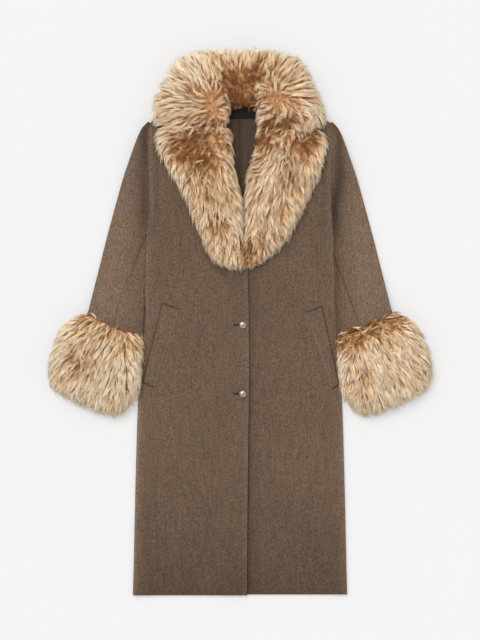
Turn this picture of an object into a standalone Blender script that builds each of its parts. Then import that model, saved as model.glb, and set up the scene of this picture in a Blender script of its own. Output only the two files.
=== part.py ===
"""Long wool coat with a fur collar, fur lapels and fur cuffs, laid flat on its back.

Metres, +Z up. Seen from above, +X is to the right and +Y runs from the hem to the collar.
The origin is the middle of the footprint, on the surface that the coat lies on.
Tables and sizes are in millimetres and are turned into metres where points are made.
In the tables "out" is the distance from the middle line of the coat towards one side.
"""
import math
from collections import namedtuple

import bmesh
import bpy
from mathutils import Vector

MM = 0.001

# Cloth and gaps
CLOTH = 2.4
WELT_CLOTH = 2.0
SEAM_GAP = 0.3
FUR_GAP = 0.6
WELT_GAP = 0.45

# The body's layers lie on each other and part a little along the folds
MIDDLE_GAP = 0.7
FOLD_GAP = 3.5
FOLD_REACH = 70.0
FOLD_FLAT = 8.0
# A folded edge ends in a face that leans a little, which needs room beyond the seam gap
SEAM_LEAN = 0.9
FOLD_RADIUS = (CLOTH + FOLD_GAP - SEAM_GAP - SEAM_LEAN) / 2
NARROW_FOLD = 0.4

# Heights of the coat's cut along its length
HEM_Y = -659.0
UNDER_HEM_RISE = 2.4
BACK_HEM_RISE = 1.4
BREAK_Y = 150.0
UNDERARM_Y = 205.0
UNDERARM_EASE = 33.0
SHOULDER_Y = 481.0
NECK_SIDE_Y = 531.0
NECK_MIDDLE_Y = 520.0
NECK_HALF = 66.0
SHOULDER_HALF = 212.0
SHOULDER_EASE = 40.0

# The wearer's right front lies over the left one
OVERLAP = 18.0
OVER_STEP = CLOTH + SEAM_GAP
OVER_REACH = 70.0
OVER_RISE = 45.0
OVER_END_Y = 300.0
OVER_FADE = 100.0

# The collar's fall lies under the shoulders and lifts them
UNDER_FUR = 10.0
LIFT = UNDER_FUR + SEAM_GAP
LIFT_START_Y = 170.0
LIFT_END_Y = 452.0

# The sleeve rises again onto the fur under the cuff
CUFF_LIFT = 10.4
CUFF_LIFT_START_Y = 120.0
CUFF_LIFT_END_Y = -20.0
STRIP_START = 3.0
STRIP_LEAST = 0.4
LAST_SLEEVE_Y = -22.0

# Cuff frame: the middle of its upper edge and the lean of the sleeve
CUFF_OUT = 304.0
CUFF_Y = -6.0
CUFF_LEAN = math.radians(22.5)

# Sections of the fur pieces
SECTION_STEPS = 8
OVER_MARGIN = 4.0
OVER_TOP_Y = 230.0

# Collar
FALL_Y = 470.0
RIM_HEIGHT = 18.0
COLLAR_ROUND = 0.7
COLLAR_SEAM_GAP = 0.5
COLLAR_TUCK = 2.0
FALL_ROUND = 5.0
TOP_ROUND = 4.0
TOP_SIDE_HEIGHT = 8.0
TOP_REST = 15.0

# Lapels
LAPEL_INNER_RIM = 9.0
LAPEL_OUTER_RIM = 6.0
LAPEL_ROUND = 0.65
LAPEL_SLOPE = 0.3
LAPEL_OUTER_TUCK = 5.0
LAPEL_INNER_TUCK = 4.0
LAPEL_BELOW_STEPS = 6

# Cuffs
CUFF_WAIST = 0.42
CUFF_ROUND = 0.8
CUFF_FLAT = 0.5

# Buttons
BUTTON_OUT = 7.0
BUTTON_YS = {"button_upper": -8.4, "button_lower": -174.0}
BUTTON_RADIUS = 8.75
BUTTON_DOME = 4.4
SHANK_RADIUS = 1.3
SLIT_START = -15.0
SLIT_END = 9.5
SLIT_WIDTH = 3.4
CUTTER_HEIGHT = 20.0
CUTTER_MIDDLE = 8.0

# Label
LABEL_WIDTH = 62.0
LABEL_HEIGHT = 28.0
LABEL_THICK = 0.6
LABEL_X = 7.0
LABEL_Y = 501.0

BodyEdge = namedtuple("BodyEdge", "y out")
BODY_EDGE = (
    BodyEdge(-659.0, 258.0),
    BodyEdge(-572.0, 255.6),
    BodyEdge(-400.0, 252.0),
    BodyEdge(-227.0, 247.0),
    BodyEdge(-152.0, 243.5),
    BodyEdge(-42.0, 235.5),
    BodyEdge(40.0, 231.6),
    BodyEdge(107.0, 228.0),
    BodyEdge(205.0, 224.5),
    BodyEdge(270.0, 220.0),
    BodyEdge(337.0, 219.5),
    BodyEdge(409.0, 222.0),
    BodyEdge(462.0, 221.5),
    BodyEdge(472.0, 218.0),
    BodyEdge(481.0, 212.0),
)

# Rows of the panels along the side edge, the hem first
PANEL_ROWS = (
    -659.0, -572.0, -486.0, -400.0, -313.0, -227.0, -152.0, -97.0, -42.0, 0.0, 40.0, 75.0,
    107.0, 140.0, 172.0, 188.0, 205.0, 235.0, 270.0, 305.0, 337.0, 372.0, 409.0, 440.0, 462.0,
    472.0, 477.0, 481.0,
)
FRONT_INNER_COLUMNS = (0.0, 20.0, 42.0, 66.0)
FRONT_OUTER_COLUMNS = (60.0, 34.0, 14.0, 0.0)
BACK_OUTER_COLUMNS = (70.0, 20.0, 0.0)
FOLD_STEPS = 3

SleeveEdge = namedtuple("SleeveEdge", "y out")
SLEEVE_EDGE = (
    SleeveEdge(26.0, 364.0),
    SleeveEdge(116.0, 342.0),
    SleeveEdge(197.0, 322.0),
    SleeveEdge(278.0, 300.0),
    SleeveEdge(350.0, 279.5),
    SleeveEdge(431.0, 251.0),
    SleeveEdge(452.0, 243.0),
    SleeveEdge(466.0, 235.0),
    SleeveEdge(476.0, 225.0),
    SleeveEdge(483.0, 215.0),
)

# How much higher a sleeve row ends at its outer edge than at the body
SleeveTilt = namedtuple("SleeveTilt", "y rise")
SLEEVE_TILT = (
    SleeveTilt(0.0, 51.0),
    SleeveTilt(107.0, 42.0),
    SleeveTilt(205.0, 29.0),
    SleeveTilt(305.0, 19.0),
    SleeveTilt(409.0, 6.0),
    SleeveTilt(440.0, 2.0),
    SleeveTilt(481.0, 2.0),
)

# The front seam of the sleeve leaves the body at "start" and widens to "widest"
SleeveSeam = namedtuple("SleeveSeam", "start rate widest")
SLEEVE_SEAM = {-1: SleeveSeam(205.0, 0.335, 66.0), 1: SleeveSeam(150.0, 0.285, 50.0)}

SleeveEnd = namedtuple("SleeveEnd", "along half")
SLEEVE_END = (
    SleeveEnd(0.0, 67.0),
    SleeveEnd(62.0, 64.0),
    SleeveEnd(124.0, 64.0),
    SleeveEnd(186.0, 64.0),
)

# The cuff along its own axis: its reach away from and towards the body, its height, and its hollow
Cuff = namedtuple("Cuff", "along outer inner height hollow hollow_middle hollow_rise")
CUFF = (
    Cuff(0.0, 73.0, -73.0, 30.0, 69.2, 0.0, 4.9),
    Cuff(24.0, 92.0, -80.0, 43.0, 68.1, 0.0, 4.9),
    Cuff(48.0, 108.0, -89.0, 50.0, 66.9, 0.0, 4.9),
    Cuff(96.0, 110.0, -105.0, 52.0, 66.3, 0.0, 4.9),
    Cuff(132.0, 106.0, -115.0, 50.0, 66.3, 0.0, 4.9),
    Cuff(161.0, 99.0, -109.0, 45.0, 66.3, 0.0, 4.9),
    Cuff(188.0, 84.0, -99.0, 38.0, 66.3, 0.0, 4.9),
    Cuff(198.0, 62.0, -84.0, 31.0, 46.0, -9.0, 1.8),
    Cuff(204.0, 20.0, -55.0, 24.0, 22.0, -17.0, 1.6),
)
CUFF_ANGLES = (0, 16, 32, 50, 70, 90, 110, 130, 148, 164, 180, 196, 212, 230, 250, 270, 290, 310, 328, 344)

# The collar across the coat: its upper outline, its lower edge on the fronts, the height of that
# edge above the cloth, where it is sewn to the lapel, and the height of the crown
Collar = namedtuple("Collar", "x top low edge crown")
COLLAR = (
    Collar(-204.0, 507.0, 479.0, 5.0, 26.0),
    Collar(-202.5, 524.0, 475.0, 5.0, 34.0),
    Collar(-198.0, 540.0, 471.0, 6.0, 40.0),
    Collar(-186.0, 563.0, 467.0, 9.0, 46.0),
    Collar(-172.0, 583.0, 466.0, 16.0, 50.0),
    Collar(-162.0, 612.0, 466.0, 19.0, 53.0),
    Collar(-145.0, 630.0, 466.0, 21.0, 56.0),
    Collar(-120.0, 641.0, 466.0, 23.0, 59.0),
    Collar(-82.0, 652.0, 466.0, 24.0, 61.0),
    Collar(-66.0, 654.0, 466.0, 24.0, 61.0),
    Collar(-50.0, 656.0, 466.0, 23.0, 61.0),
    Collar(-34.0, 657.0, 466.0, 18.0, 60.0),
    Collar(-29.0, 657.0, 492.0, 11.0, 59.0),
    Collar(-24.0, 658.0, 517.0, 7.0, 58.0),
    Collar(0.0, 659.0, 517.0, 7.0, 58.0),
    Collar(37.0, 657.0, 517.0, 7.0, 58.0),
    Collar(41.0, 656.0, 492.0, 11.0, 59.0),
    Collar(45.0, 656.0, 461.0, 18.0, 60.0),
    Collar(66.0, 653.0, 461.0, 23.0, 61.0),
    Collar(90.0, 649.0, 461.0, 24.0, 61.0),
    Collar(122.0, 638.0, 461.0, 23.0, 59.0),
    Collar(144.0, 624.0, 461.0, 21.0, 56.0),
    Collar(155.0, 608.0, 461.0, 20.0, 54.0),
    Collar(165.0, 589.0, 461.0, 18.0, 51.0),
    Collar(175.0, 566.0, 461.0, 15.0, 48.0),
    Collar(184.0, 540.0, 462.0, 10.0, 45.0),
    Collar(192.0, 522.0, 467.0, 7.0, 40.0),
    Collar(198.0, 508.0, 472.0, 6.0, 34.0),
    Collar(202.0, 500.0, 476.0, 5.0, 26.0),
)

# The lapels down the fronts, from the notch to the tip
Lapel = namedtuple("Lapel", "y outer inner crown")
LAPELS = {
    -1: (
        Lapel(465.4, 184.0, 23.0, 47.0),
        Lapel(456.0, 197.0, 22.0, 48.0),
        Lapel(446.0, 202.0, 21.0, 49.0),
        Lapel(425.0, 199.0, 19.5, 49.0),
        Lapel(407.0, 194.0, 18.0, 48.0),
        Lapel(385.0, 181.0, 17.0, 47.0),
        Lapel(363.0, 168.0, 14.0, 46.0),
        Lapel(335.0, 151.0, 7.0, 45.0),
        Lapel(308.0, 136.0, -1.0, 43.0),
        Lapel(280.0, 124.0, -8.0, 42.0),
        Lapel(257.0, 115.0, -8.5, 41.0),
        Lapel(234.0, 106.0, -9.0, 40.0),
        Lapel(200.0, 90.0, -9.5, 38.0),
        Lapel(170.0, 77.0, -10.0, 36.0),
        Lapel(150.0, 63.0, -10.0, 33.0),
        Lapel(137.0, 45.0, -9.0, 28.0),
        Lapel(129.0, 24.0, -4.0, 20.0),
    ),
    1: (
        Lapel(460.4, 186.0, 40.0, 47.0),
        Lapel(450.0, 200.0, 39.5, 48.0),
        Lapel(426.0, 206.0, 38.0, 49.0),
        Lapel(404.0, 203.0, 34.0, 49.0),
        Lapel(381.0, 199.0, 28.0, 48.0),
        Lapel(352.0, 189.0, 19.5, 46.0),
        Lapel(320.0, 175.0, 14.0, 44.0),
        Lapel(290.0, 159.0, 9.8, 43.0),
        Lapel(262.0, 146.0, 9.8, 41.0),
        Lapel(234.0, 133.0, 10.2, 40.0),
        Lapel(212.0, 120.0, 10.5, 39.0),
        Lapel(190.0, 105.0, 11.0, 38.0),
        Lapel(165.0, 78.0, 11.0, 35.0),
        Lapel(150.0, 60.0, 11.0, 32.0),
        Lapel(140.0, 40.0, 11.5, 26.0),
        Lapel(134.0, 26.0, 13.0, 19.0),
    ),
}

# Corners of the pocket welts, as distances to the side and along the coat
Welt = namedtuple("Welt", "upper_out upper_y upper_in upper_in_y lower_out lower_y lower_in lower_in_y")
WELTS = {
    -1: Welt(188.0, 44.0, 145.0, 31.0, 234.0, -147.0, 207.0, -160.0),
    1: Welt(197.5, 38.0, 157.0, 23.0, 238.0, -150.0, 221.0, -165.0),
}
WELT_ROWS = 10
WELT_COLUMNS = 4

Finish = namedtuple("Finish", "colour roughness metallic")
FINISHES = {
    "wool": Finish((0.142, 0.098, 0.067), 0.9, 0.0),
    "fur": Finish((0.580, 0.392, 0.246), 0.8, 0.0),
    "metal": Finish((0.520, 0.470, 0.400), 0.35, 1.0),
    "label": Finish((0.016, 0.012, 0.010), 0.7, 0.0),
}

SIDES = {"left": -1, "right": 1}

# Heights of the sleeve's two faces above its underside, at the middle of the cloth
SLEEVE_LOW = CLOTH / 2
SLEEVE_HIGH = CLOTH * 1.5 + FOLD_GAP
SLEEVE_COLUMNS = 6
STRIP_COLUMNS = 2


def smooth(share):
    """Ease from 0 to 1."""
    share = min(1.0, max(0.0, share))
    return share * share * (3.0 - 2.0 * share)


def blend(start, end, share):
    return start + (end - start) * share


def read(table, key, column):
    """Value of a named column at a key, straight between the rows on both sides of it."""
    if key <= table[0][0]:
        return getattr(table[0], column)
    for low, high in zip(table, table[1:]):
        if key <= high[0]:
            return blend(getattr(low, column), getattr(high, column), (key - low[0]) / (high[0] - low[0]))
    return getattr(table[-1], column)


def body_out(y):
    """Distance of the side seam, or of the armhole above the underarm, from the middle line."""
    return read(BODY_EDGE, y, "out")


def lift(y):
    """How far the collar's fall raises the cloth above the surface."""
    return LIFT * smooth((y - LIFT_START_Y) / (LIFT_END_Y - LIFT_START_Y))


def shoulder_line(out):
    """Where the shoulder seam crosses a distance from the middle line."""
    return blend(NECK_SIDE_Y, SHOULDER_Y, (out - NECK_HALF) / (SHOULDER_HALF - NECK_HALF))


def top_line(out):
    """Upper edge of the back: the neckline, then the shoulder seam."""
    if out < NECK_HALF:
        return blend(NECK_MIDDLE_Y, NECK_SIDE_Y, max(out, 0.0) / NECK_HALF)
    return shoulder_line(out)


def layer_gap(out, y):
    """Hollow between front and back."""
    near_fold = 1.0 - smooth((body_out(y) - out - FOLD_FLAT) / FOLD_REACH)
    below_shoulder = smooth((shoulder_line(out) - y) / SHOULDER_EASE)
    return MIDDLE_GAP + (FOLD_GAP - MIDDLE_GAP) * near_fold * below_shoulder


def front_height(out, y, over):
    """Height of the middle of the front's cloth; the over front climbs onto the other one."""
    height = lift(y) + 1.5 * CLOTH + layer_gap(out, y)
    if over:
        near_edge = smooth((OVER_REACH - out) / OVER_RISE)
        height += OVER_STEP * near_edge * (1.0 - smooth((y - OVER_END_Y) / OVER_FADE))
    return height


def fold_amount(y):
    """1 where the side is folded round, 0 above the underarm where the armhole is open."""
    return 1.0 - smooth((y - UNDERARM_Y + UNDERARM_EASE) / UNDERARM_EASE)


def roll_line(y):
    """Inner edge of a front: its front edge, then the line that the lapel folds out along."""
    share = max(0.0, (y - BREAK_Y) / (NECK_SIDE_Y - BREAK_Y))
    return blend(-OVERLAP, NECK_HALF, share)


def inner_y(y):
    """Where a panel row that starts at the side edge ends at the roll line."""
    if y <= BREAK_Y:
        return y
    return blend(BREAK_Y, NECK_SIDE_Y, (y - BREAK_Y) / (SHOULDER_Y - BREAK_Y))


def fold_points(y, start_height, turn):
    """Side edge of a panel row: a quarter turn down or up, laid flat along the armhole."""
    amount = fold_amount(y)
    length = FOLD_RADIUS * math.pi / 2
    edge = body_out(y) - blend(SEAM_GAP / 2, CLOTH / 2, amount)
    if amount < 0.001:
        flat_end = edge - length
        bent = [(flat_end + length * step / FOLD_STEPS, 0.0) for step in range(1, FOLD_STEPS + 1)]
    else:
        radius = FOLD_RADIUS / amount
        full = amount * math.pi / 2
        flat_end = edge - radius * math.sin(full)
        bent = []
        for step in range(1, FOLD_STEPS + 1):
            angle = full * step / FOLD_STEPS
            bent.append((flat_end + radius * math.sin(angle), radius * (1.0 - math.cos(angle))))
    return flat_end, [(out, start_height + turn * rise) for out, rise in bent]


def front_rows(side):
    over = side < 0
    rise = 0.0 if over else UNDER_HEM_RISE
    rows = []
    for side_y in PANEL_ROWS:
        side_y = max(side_y, HEM_Y + rise)
        start_y = inner_y(side_y)
        start = roll_line(start_y)
        fold_height = front_height(body_out(side_y) - FOLD_FLAT, side_y, over)
        flat_end, bent = fold_points(side_y, fold_height, -1.0)
        outs = [start + step for step in FRONT_INNER_COLUMNS]
        outs.append((start + FRONT_INNER_COLUMNS[-1] + flat_end - FRONT_OUTER_COLUMNS[0]) / 2)
        outs.extend(flat_end - step for step in FRONT_OUTER_COLUMNS)
        row = []
        for out in outs:
            y = blend(start_y, side_y, (out - start) / (flat_end - start))
            row.append((side * out, y, front_height(out, y, over)))
        row.extend((side * out, side_y, height) for out, height in bent)
        rows.append(row)
    return rows


def back_rows(side):
    rows = []
    for side_y in PANEL_ROWS:
        side_y = max(side_y, HEM_Y + BACK_HEM_RISE)
        flat_end, bent = fold_points(side_y, lift(side_y) + CLOTH / 2, 1.0)
        outs = [SEAM_GAP / 2, NECK_HALF, (NECK_HALF + flat_end - BACK_OUTER_COLUMNS[0]) / 2]
        outs.extend(flat_end - step for step in BACK_OUTER_COLUMNS)
        row = []
        for out in outs:
            y = side_y
            if side_y > BREAK_Y:
                share = (side_y - BREAK_Y) / (SHOULDER_Y - BREAK_Y)
                y = blend(BREAK_Y, top_line(out), share)
            row.append((side * out, y, lift(y) + CLOTH / 2))
        row.extend((side * out, row[-1][1], height) for out, height in bent)
        rows.append(row)
    return rows


def cuff_point(side, along, away):
    """A place in the cuff's frame: along the sleeve and away from the body."""
    out = CUFF_OUT + math.cos(CUFF_LEAN) * away + math.sin(CUFF_LEAN) * along
    y = CUFF_Y + math.sin(CUFF_LEAN) * away - math.cos(CUFF_LEAN) * along
    return side * out, y


SleeveRow = namedtuple("SleeveRow", "inner outer height folded strip")


def sleeve_rows(side):
    """Rows of a sleeve from the shoulder to the cuff, between its inner and its outer edge."""
    seam = SLEEVE_SEAM[side]
    rows = []
    for y in [y for y in reversed(PANEL_ROWS) if 0.0 <= y < SHOULDER_Y] + [LAST_SLEEVE_Y]:
        folded = y <= UNDERARM_Y
        if folded:
            inner_out = body_out(y) + SEAM_GAP + CLOTH / 2
        else:
            inner_out = body_out(y) + SEAM_GAP / 2
        outer_y = y + read(SLEEVE_TILT, y, "rise")
        outer_out = read(SLEEVE_EDGE, outer_y, "out") - CLOTH / 2
        raised = CUFF_LIFT * smooth((CUFF_LIFT_START_Y - y) / (CUFF_LIFT_START_Y - CUFF_LIFT_END_Y))
        strip = min(seam.widest, STRIP_START + max(0.0, seam.start - y) * seam.rate)
        inner = (side * inner_out, y)
        outer = (side * outer_out, outer_y)
        rows.append(SleeveRow(inner, outer, lift(y) + raised, folded, strip))
    for end in SLEEVE_END:
        inner = cuff_point(side, end.along, -end.half)
        outer = cuff_point(side, end.along, end.half)
        rows.append(SleeveRow(inner, outer, CUFF_LIFT, True, seam.widest))
    return rows


def sleeve_point(row, across, height):
    """A point of a sleeve row at a distance from its inner edge, and a height above its underside."""
    width = math.dist(row.inner, row.outer)
    share = across / width
    x = blend(row.inner[0], row.outer[0], share)
    y = blend(row.inner[1], row.outer[1], share)
    return x, y, row.height + height


def fold_radius(width):
    """Radius of a fold across a sleeve row, smaller where the row is narrow."""
    return min(FOLD_RADIUS, width * NARROW_FOLD)


def outer_turn(row, turn):
    """Quarter turn of the outer fold, from the flat face to the seam; turn is +1 for the under piece."""
    width = math.dist(row.inner, row.outer)
    start = SLEEVE_LOW if turn > 0 else SLEEVE_HIGH
    radius = fold_radius(width)
    points = []
    for step in range(1, FOLD_STEPS + 1):
        angle = math.pi / 2 * step / FOLD_STEPS
        across = width - radius * (1.0 - math.sin(angle))
        points.append(sleeve_point(row, across, start + turn * FOLD_RADIUS * (1.0 - math.cos(angle))))
    return points


def sleeve_top_rows(side):
    rows = []
    for row in sleeve_rows(side):
        width = math.dist(row.inner, row.outer)
        start = row.strip + SEAM_GAP / 2 if row.folded else 0.0
        flat_end = width - fold_radius(width)
        points = []
        for step in range(SLEEVE_COLUMNS + 1):
            points.append(sleeve_point(row, blend(start, flat_end, step / SLEEVE_COLUMNS), SLEEVE_HIGH))
        rows.append(points + outer_turn(row, -1.0))
    return rows


def sleeve_under_rows(side):
    """Under piece: outer fold, back face, inner fold and the strip in front of it.

    Above the underarm only the back face is cloth, and its last columns are left out later.
    """
    rows = []
    for row in sleeve_rows(side):
        width = math.dist(row.inner, row.outer)
        flat_end = width - fold_radius(width)
        points = list(reversed(outer_turn(row, 1.0)))
        flat_start = FOLD_RADIUS if row.folded else 0.0
        for step in range(SLEEVE_COLUMNS + 1):
            points.append(sleeve_point(row, blend(flat_end, flat_start, step / SLEEVE_COLUMNS), SLEEVE_LOW))
        middle = (SLEEVE_LOW + SLEEVE_HIGH) / 2
        half = (SLEEVE_HIGH - SLEEVE_LOW) / 2
        for angle in (-45.0, 0.0, 45.0):
            turn = math.radians(angle)
            across = FOLD_RADIUS * (1.0 - math.cos(turn))
            points.append(sleeve_point(row, across, middle + half * math.sin(turn)))
        strip_end = row.strip - SEAM_GAP / 2
        strip_start = min(FOLD_RADIUS, strip_end - STRIP_LEAST)
        for step in range(STRIP_COLUMNS + 1):
            across = blend(strip_start, strip_end, step / STRIP_COLUMNS)
            points.append(sleeve_point(row, across, SLEEVE_HIGH))
        rows.append(points)
    return rows


def finish_for(kind):
    """Material of one kind of piece."""
    finish = FINISHES[kind]
    material = bpy.data.materials.new(kind)
    material.use_nodes = True
    shader = material.node_tree.nodes["Principled BSDF"]
    shader.inputs["Base Color"].default_value = (*finish.colour, 1.0)
    shader.inputs["Roughness"].default_value = finish.roughness
    shader.inputs["Metallic"].default_value = finish.metallic
    return material


def place(name, shape, collection, kind):
    """Turn a bmesh into a named object with its own material."""
    mesh = bpy.data.meshes.new(name)
    shape.to_mesh(mesh)
    shape.free()
    mesh.shade_smooth()
    mesh.set_sharp_from_angle(angle=math.radians(50.0))
    piece = bpy.data.objects.new(name, mesh)
    piece.data.materials.append(finish_for(kind))
    collection.objects.link(piece)
    return piece


def lay_cloth(name, rows, collection, wall=CLOTH, left_out=None):
    """Lay a grid on rows of points and give it the thickness of the cloth."""
    columns = len(rows[0])
    shape = bmesh.new()
    bmesh.ops.create_grid(shape, x_segments=columns - 1, y_segments=len(rows) - 1, size=1.0)
    shape.verts.ensure_lookup_table()
    for index, corner in enumerate(shape.verts):
        row, column = divmod(index, columns)
        corner.co = Vector(rows[row][column]) * MM
    if left_out:
        spare = [shape.verts[row * columns + column] for row, column in left_out]
        bmesh.ops.delete(shape, geom=spare, context="VERTS")
    piece = place(name, shape, collection, "wool")
    thick = piece.modifiers.new("Cloth", "SOLIDIFY")
    thick.thickness = wall * MM
    thick.offset = 0.0
    thick.use_even_offset = True
    return piece


def loft(name, rings, collection, kind, ring_shaped=False):
    """Closed body through rings of points; a ring-shaped one closes on its own first ring."""
    shape = bmesh.new()
    loops = [[shape.verts.new(Vector(point) * MM) for point in ring] for ring in rings]
    pairs = list(zip(loops, loops[1:]))
    if ring_shaped:
        pairs.append((loops[-1], loops[0]))
    for low, high in pairs:
        for index in range(len(low)):
            shape.faces.new((low[index - 1], low[index], high[index], high[index - 1]))
    if not ring_shaped:
        shape.faces.new(loops[0])
        shape.faces.new(loops[-1])
    bmesh.ops.recalc_face_normals(shape, faces=shape.faces)
    return place(name, shape, collection, kind)


def front_top(x, y, side):
    """Top of the highest cloth under a piece of fur; the over front reaches past the middle."""
    over = side < 0 or (x < OVERLAP + OVER_MARGIN and y < OVER_TOP_Y)
    out = -x if over else x
    return front_height(out, y, over) + CLOTH / 2


def collar_ring(row):
    """Section of the collar across its roll: over the fronts, round the top and under the back."""
    side = -1 if row.x < 0.0 else 1
    floor = front_top(row.x, row.low, side) + FUR_GAP
    ring = []
    for step in range(SECTION_STEPS + 1):
        angle = math.pi * step / SECTION_STEPS
        base = blend(floor + row.edge, RIM_HEIGHT, step / SECTION_STEPS)
        y = blend(row.low, row.top, (1.0 - math.cos(angle)) / 2)
        ring.append((row.x, y, base + max(0.0, row.crown - base) * math.sin(angle) ** COLLAR_ROUND))
    seam = top_line(abs(row.x)) + COLLAR_SEAM_GAP
    middle = (seam + row.low) / 2
    tucked = row.low + COLLAR_TUCK
    ring.append((row.x, row.top - TOP_ROUND, TOP_SIDE_HEIGHT))
    ring.append((row.x, row.top - TOP_REST, 0.0))
    ring.append((row.x, FALL_Y + FALL_ROUND, 0.0))
    ring.append((row.x, FALL_Y, UNDER_FUR / 2))
    ring.append((row.x, FALL_Y + FALL_ROUND, UNDER_FUR))
    ring.append((row.x, seam, UNDER_FUR))
    ring.append((row.x, seam, front_top(row.x, seam, side) + FUR_GAP))
    ring.append((row.x, middle, front_top(row.x, middle, side) + FUR_GAP))
    ring.append((row.x, tucked, front_top(row.x, tucked, side) + FUR_GAP))
    return ring


def lapel_ring(side, row):
    """Section of a lapel along a line across the coat: flat below, domed above, higher at the roll."""
    ring = []
    for step in range(SECTION_STEPS + 1):
        angle = math.pi * step / SECTION_STEPS
        share = (1.0 - math.cos(angle)) / 2
        out = blend(row.inner, row.outer, share)
        floor = front_top(side * out, row.y, side) + FUR_GAP
        rim = blend(LAPEL_INNER_RIM, LAPEL_OUTER_RIM, share)
        swell = (row.crown - floor - rim) * math.sin(angle) ** LAPEL_ROUND * (1.0 - LAPEL_SLOPE * share)
        ring.append((side * out, row.y, floor + rim + max(0.0, swell)))
    for step in range(LAPEL_BELOW_STEPS + 1):
        share = step / LAPEL_BELOW_STEPS
        out = blend(row.outer - LAPEL_OUTER_TUCK, row.inner + LAPEL_INNER_TUCK, share)
        ring.append((side * out, row.y, front_top(side * out, row.y, side) + FUR_GAP))
    return ring


def cuff_rings(side):
    """Outer rings of the cuff and, back again, the rings of the hollow round the sleeve."""
    sleeve_middle = CUFF_LIFT + (SLEEVE_LOW + SLEEVE_HIGH) / 2
    outer_rings = []
    hollow_rings = []
    for row in CUFF:
        middle = (row.outer + row.inner) / 2
        half = (row.outer - row.inner) / 2
        waist = row.height * CUFF_WAIST
        outer_ring = []
        for angle in CUFF_ANGLES:
            turn = math.radians(angle)
            away = middle + half * math.copysign(abs(math.cos(turn)) ** CUFF_ROUND, math.cos(turn))
            if math.sin(turn) >= 0.0:
                height = waist + (row.height - waist) * math.sin(turn) ** CUFF_ROUND
            else:
                height = waist * (1.0 - abs(math.sin(turn)) ** CUFF_FLAT)
            x, y = cuff_point(side, row.along, away)
            outer_ring.append((x, y, height))
        outer_rings.append(outer_ring)
        hollow_ring = []
        reach = row.hollow - row.hollow_rise
        for index in range(len(CUFF_ANGLES)):
            across, rise = hollow_corner(index, reach, row.hollow_rise)
            x, y = cuff_point(side, row.along, row.hollow_middle + across)
            hollow_ring.append((x, y, sleeve_middle + rise))
        hollow_rings.append(hollow_ring)
    return outer_rings + hollow_rings[::-1]


def hollow_corner(index, reach, rise):
    """Point of a flat hollow with round ends; the numbering follows CUFF_ANGLES."""
    half_turn = len(CUFF_ANGLES) // 2
    sign = 1.0 if index <= half_turn else -1.0
    place_on_side = index if index <= half_turn else 2 * half_turn - index
    if place_on_side <= 2:
        turn = math.radians(45.0 * place_on_side)
        return reach + rise * math.cos(turn), sign * rise * math.sin(turn)
    if place_on_side >= half_turn - 2:
        turn = math.radians(45.0 * (half_turn - place_on_side))
        return -reach - rise * math.cos(turn), sign * rise * math.sin(turn)
    return blend(reach, -reach, (place_on_side - 2) / (half_turn - 4)), sign * rise


def welt_rows(side):
    """The pocket welt's cloth, laid on the front's own height."""
    welt = WELTS[side]
    over = side < 0
    rows = []
    for step in range(WELT_ROWS + 1):
        down = step / WELT_ROWS
        row = []
        for column in range(WELT_COLUMNS + 1):
            across = column / WELT_COLUMNS
            upper_out = blend(welt.upper_out, welt.upper_in, across)
            upper_y = blend(welt.upper_y, welt.upper_in_y, across)
            lower_out = blend(welt.lower_out, welt.lower_in, across)
            lower_y = blend(welt.lower_y, welt.lower_in_y, across)
            out = blend(upper_out, lower_out, down)
            y = blend(upper_y, lower_y, down)
            height = front_height(out, y, over) + CLOTH / 2 + WELT_GAP + WELT_CLOTH / 2
            row.append((side * out, y, height))
        rows.append(row)
    return rows


def turned_button(name, y, collection):
    """A domed button whose shank goes down through the over front to the under one."""
    under_top = front_height(BUTTON_OUT, y, False) + CLOTH / 2
    over_top = front_height(-BUTTON_OUT, y, True) + CLOTH / 2
    foot = under_top + SEAM_GAP
    rim = over_top + SEAM_GAP
    crown = rim + BUTTON_DOME
    profile = (
        (0.0, crown),
        (BUTTON_RADIUS * 0.52, crown - 0.6),
        (BUTTON_RADIUS * 0.86, crown - 1.9),
        (BUTTON_RADIUS, crown - 3.4),
        (BUTTON_RADIUS * 0.95, rim),
        (SHANK_RADIUS, rim),
        (SHANK_RADIUS, foot),
        (0.0, foot),
    )
    shape = bmesh.new()
    corners = [shape.verts.new((radius * MM, 0.0, height * MM)) for radius, height in profile]
    for low, high in zip(corners, corners[1:]):
        shape.edges.new((low, high))
    button = place(name, shape, collection, "metal")
    button.location = (BUTTON_OUT * MM, y * MM, 0.0)
    turning = button.modifiers.new("Turning", "SCREW")
    turning.steps = 18
    turning.render_steps = 18
    turning.use_merge_vertices = True
    turning.merge_threshold = 0.00001
    return button


def cut_buttonhole(front, y, cutters):
    """Cut one buttonhole slit through the over front."""
    shape = bmesh.new()
    bmesh.ops.create_cube(shape, size=1.0)
    size = Vector((SLIT_END - SLIT_START, SLIT_WIDTH, CUTTER_HEIGHT)) * MM
    bmesh.ops.scale(shape, vec=size, verts=shape.verts)
    cutter = place(f"buttonhole_{y:.0f}", shape, cutters, "label")
    cutter.location = Vector(((SLIT_START + SLIT_END) / 2, y, CUTTER_MIDDLE)) * MM
    cutter.hide_render = True
    cutter.display_type = "WIRE"
    cut = front.modifiers.new("Buttonhole", "BOOLEAN")
    cut.operation = "DIFFERENCE"
    cut.solver = "EXACT"
    cut.object = cutter


def neck_label(collection):
    shape = bmesh.new()
    bmesh.ops.create_cube(shape, size=1.0)
    bmesh.ops.scale(shape, vec=Vector((LABEL_WIDTH, LABEL_HEIGHT, LABEL_THICK)) * MM, verts=shape.verts)
    label = place("label", shape, collection, "label")
    height = LIFT + CLOTH + SEAM_GAP + LABEL_THICK / 2
    label.location = Vector((LABEL_X, LABEL_Y, height)) * MM
    return label


def clear_scene():
    for item in list(bpy.data.objects):
        bpy.data.objects.remove(item, do_unlink=True)


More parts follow.
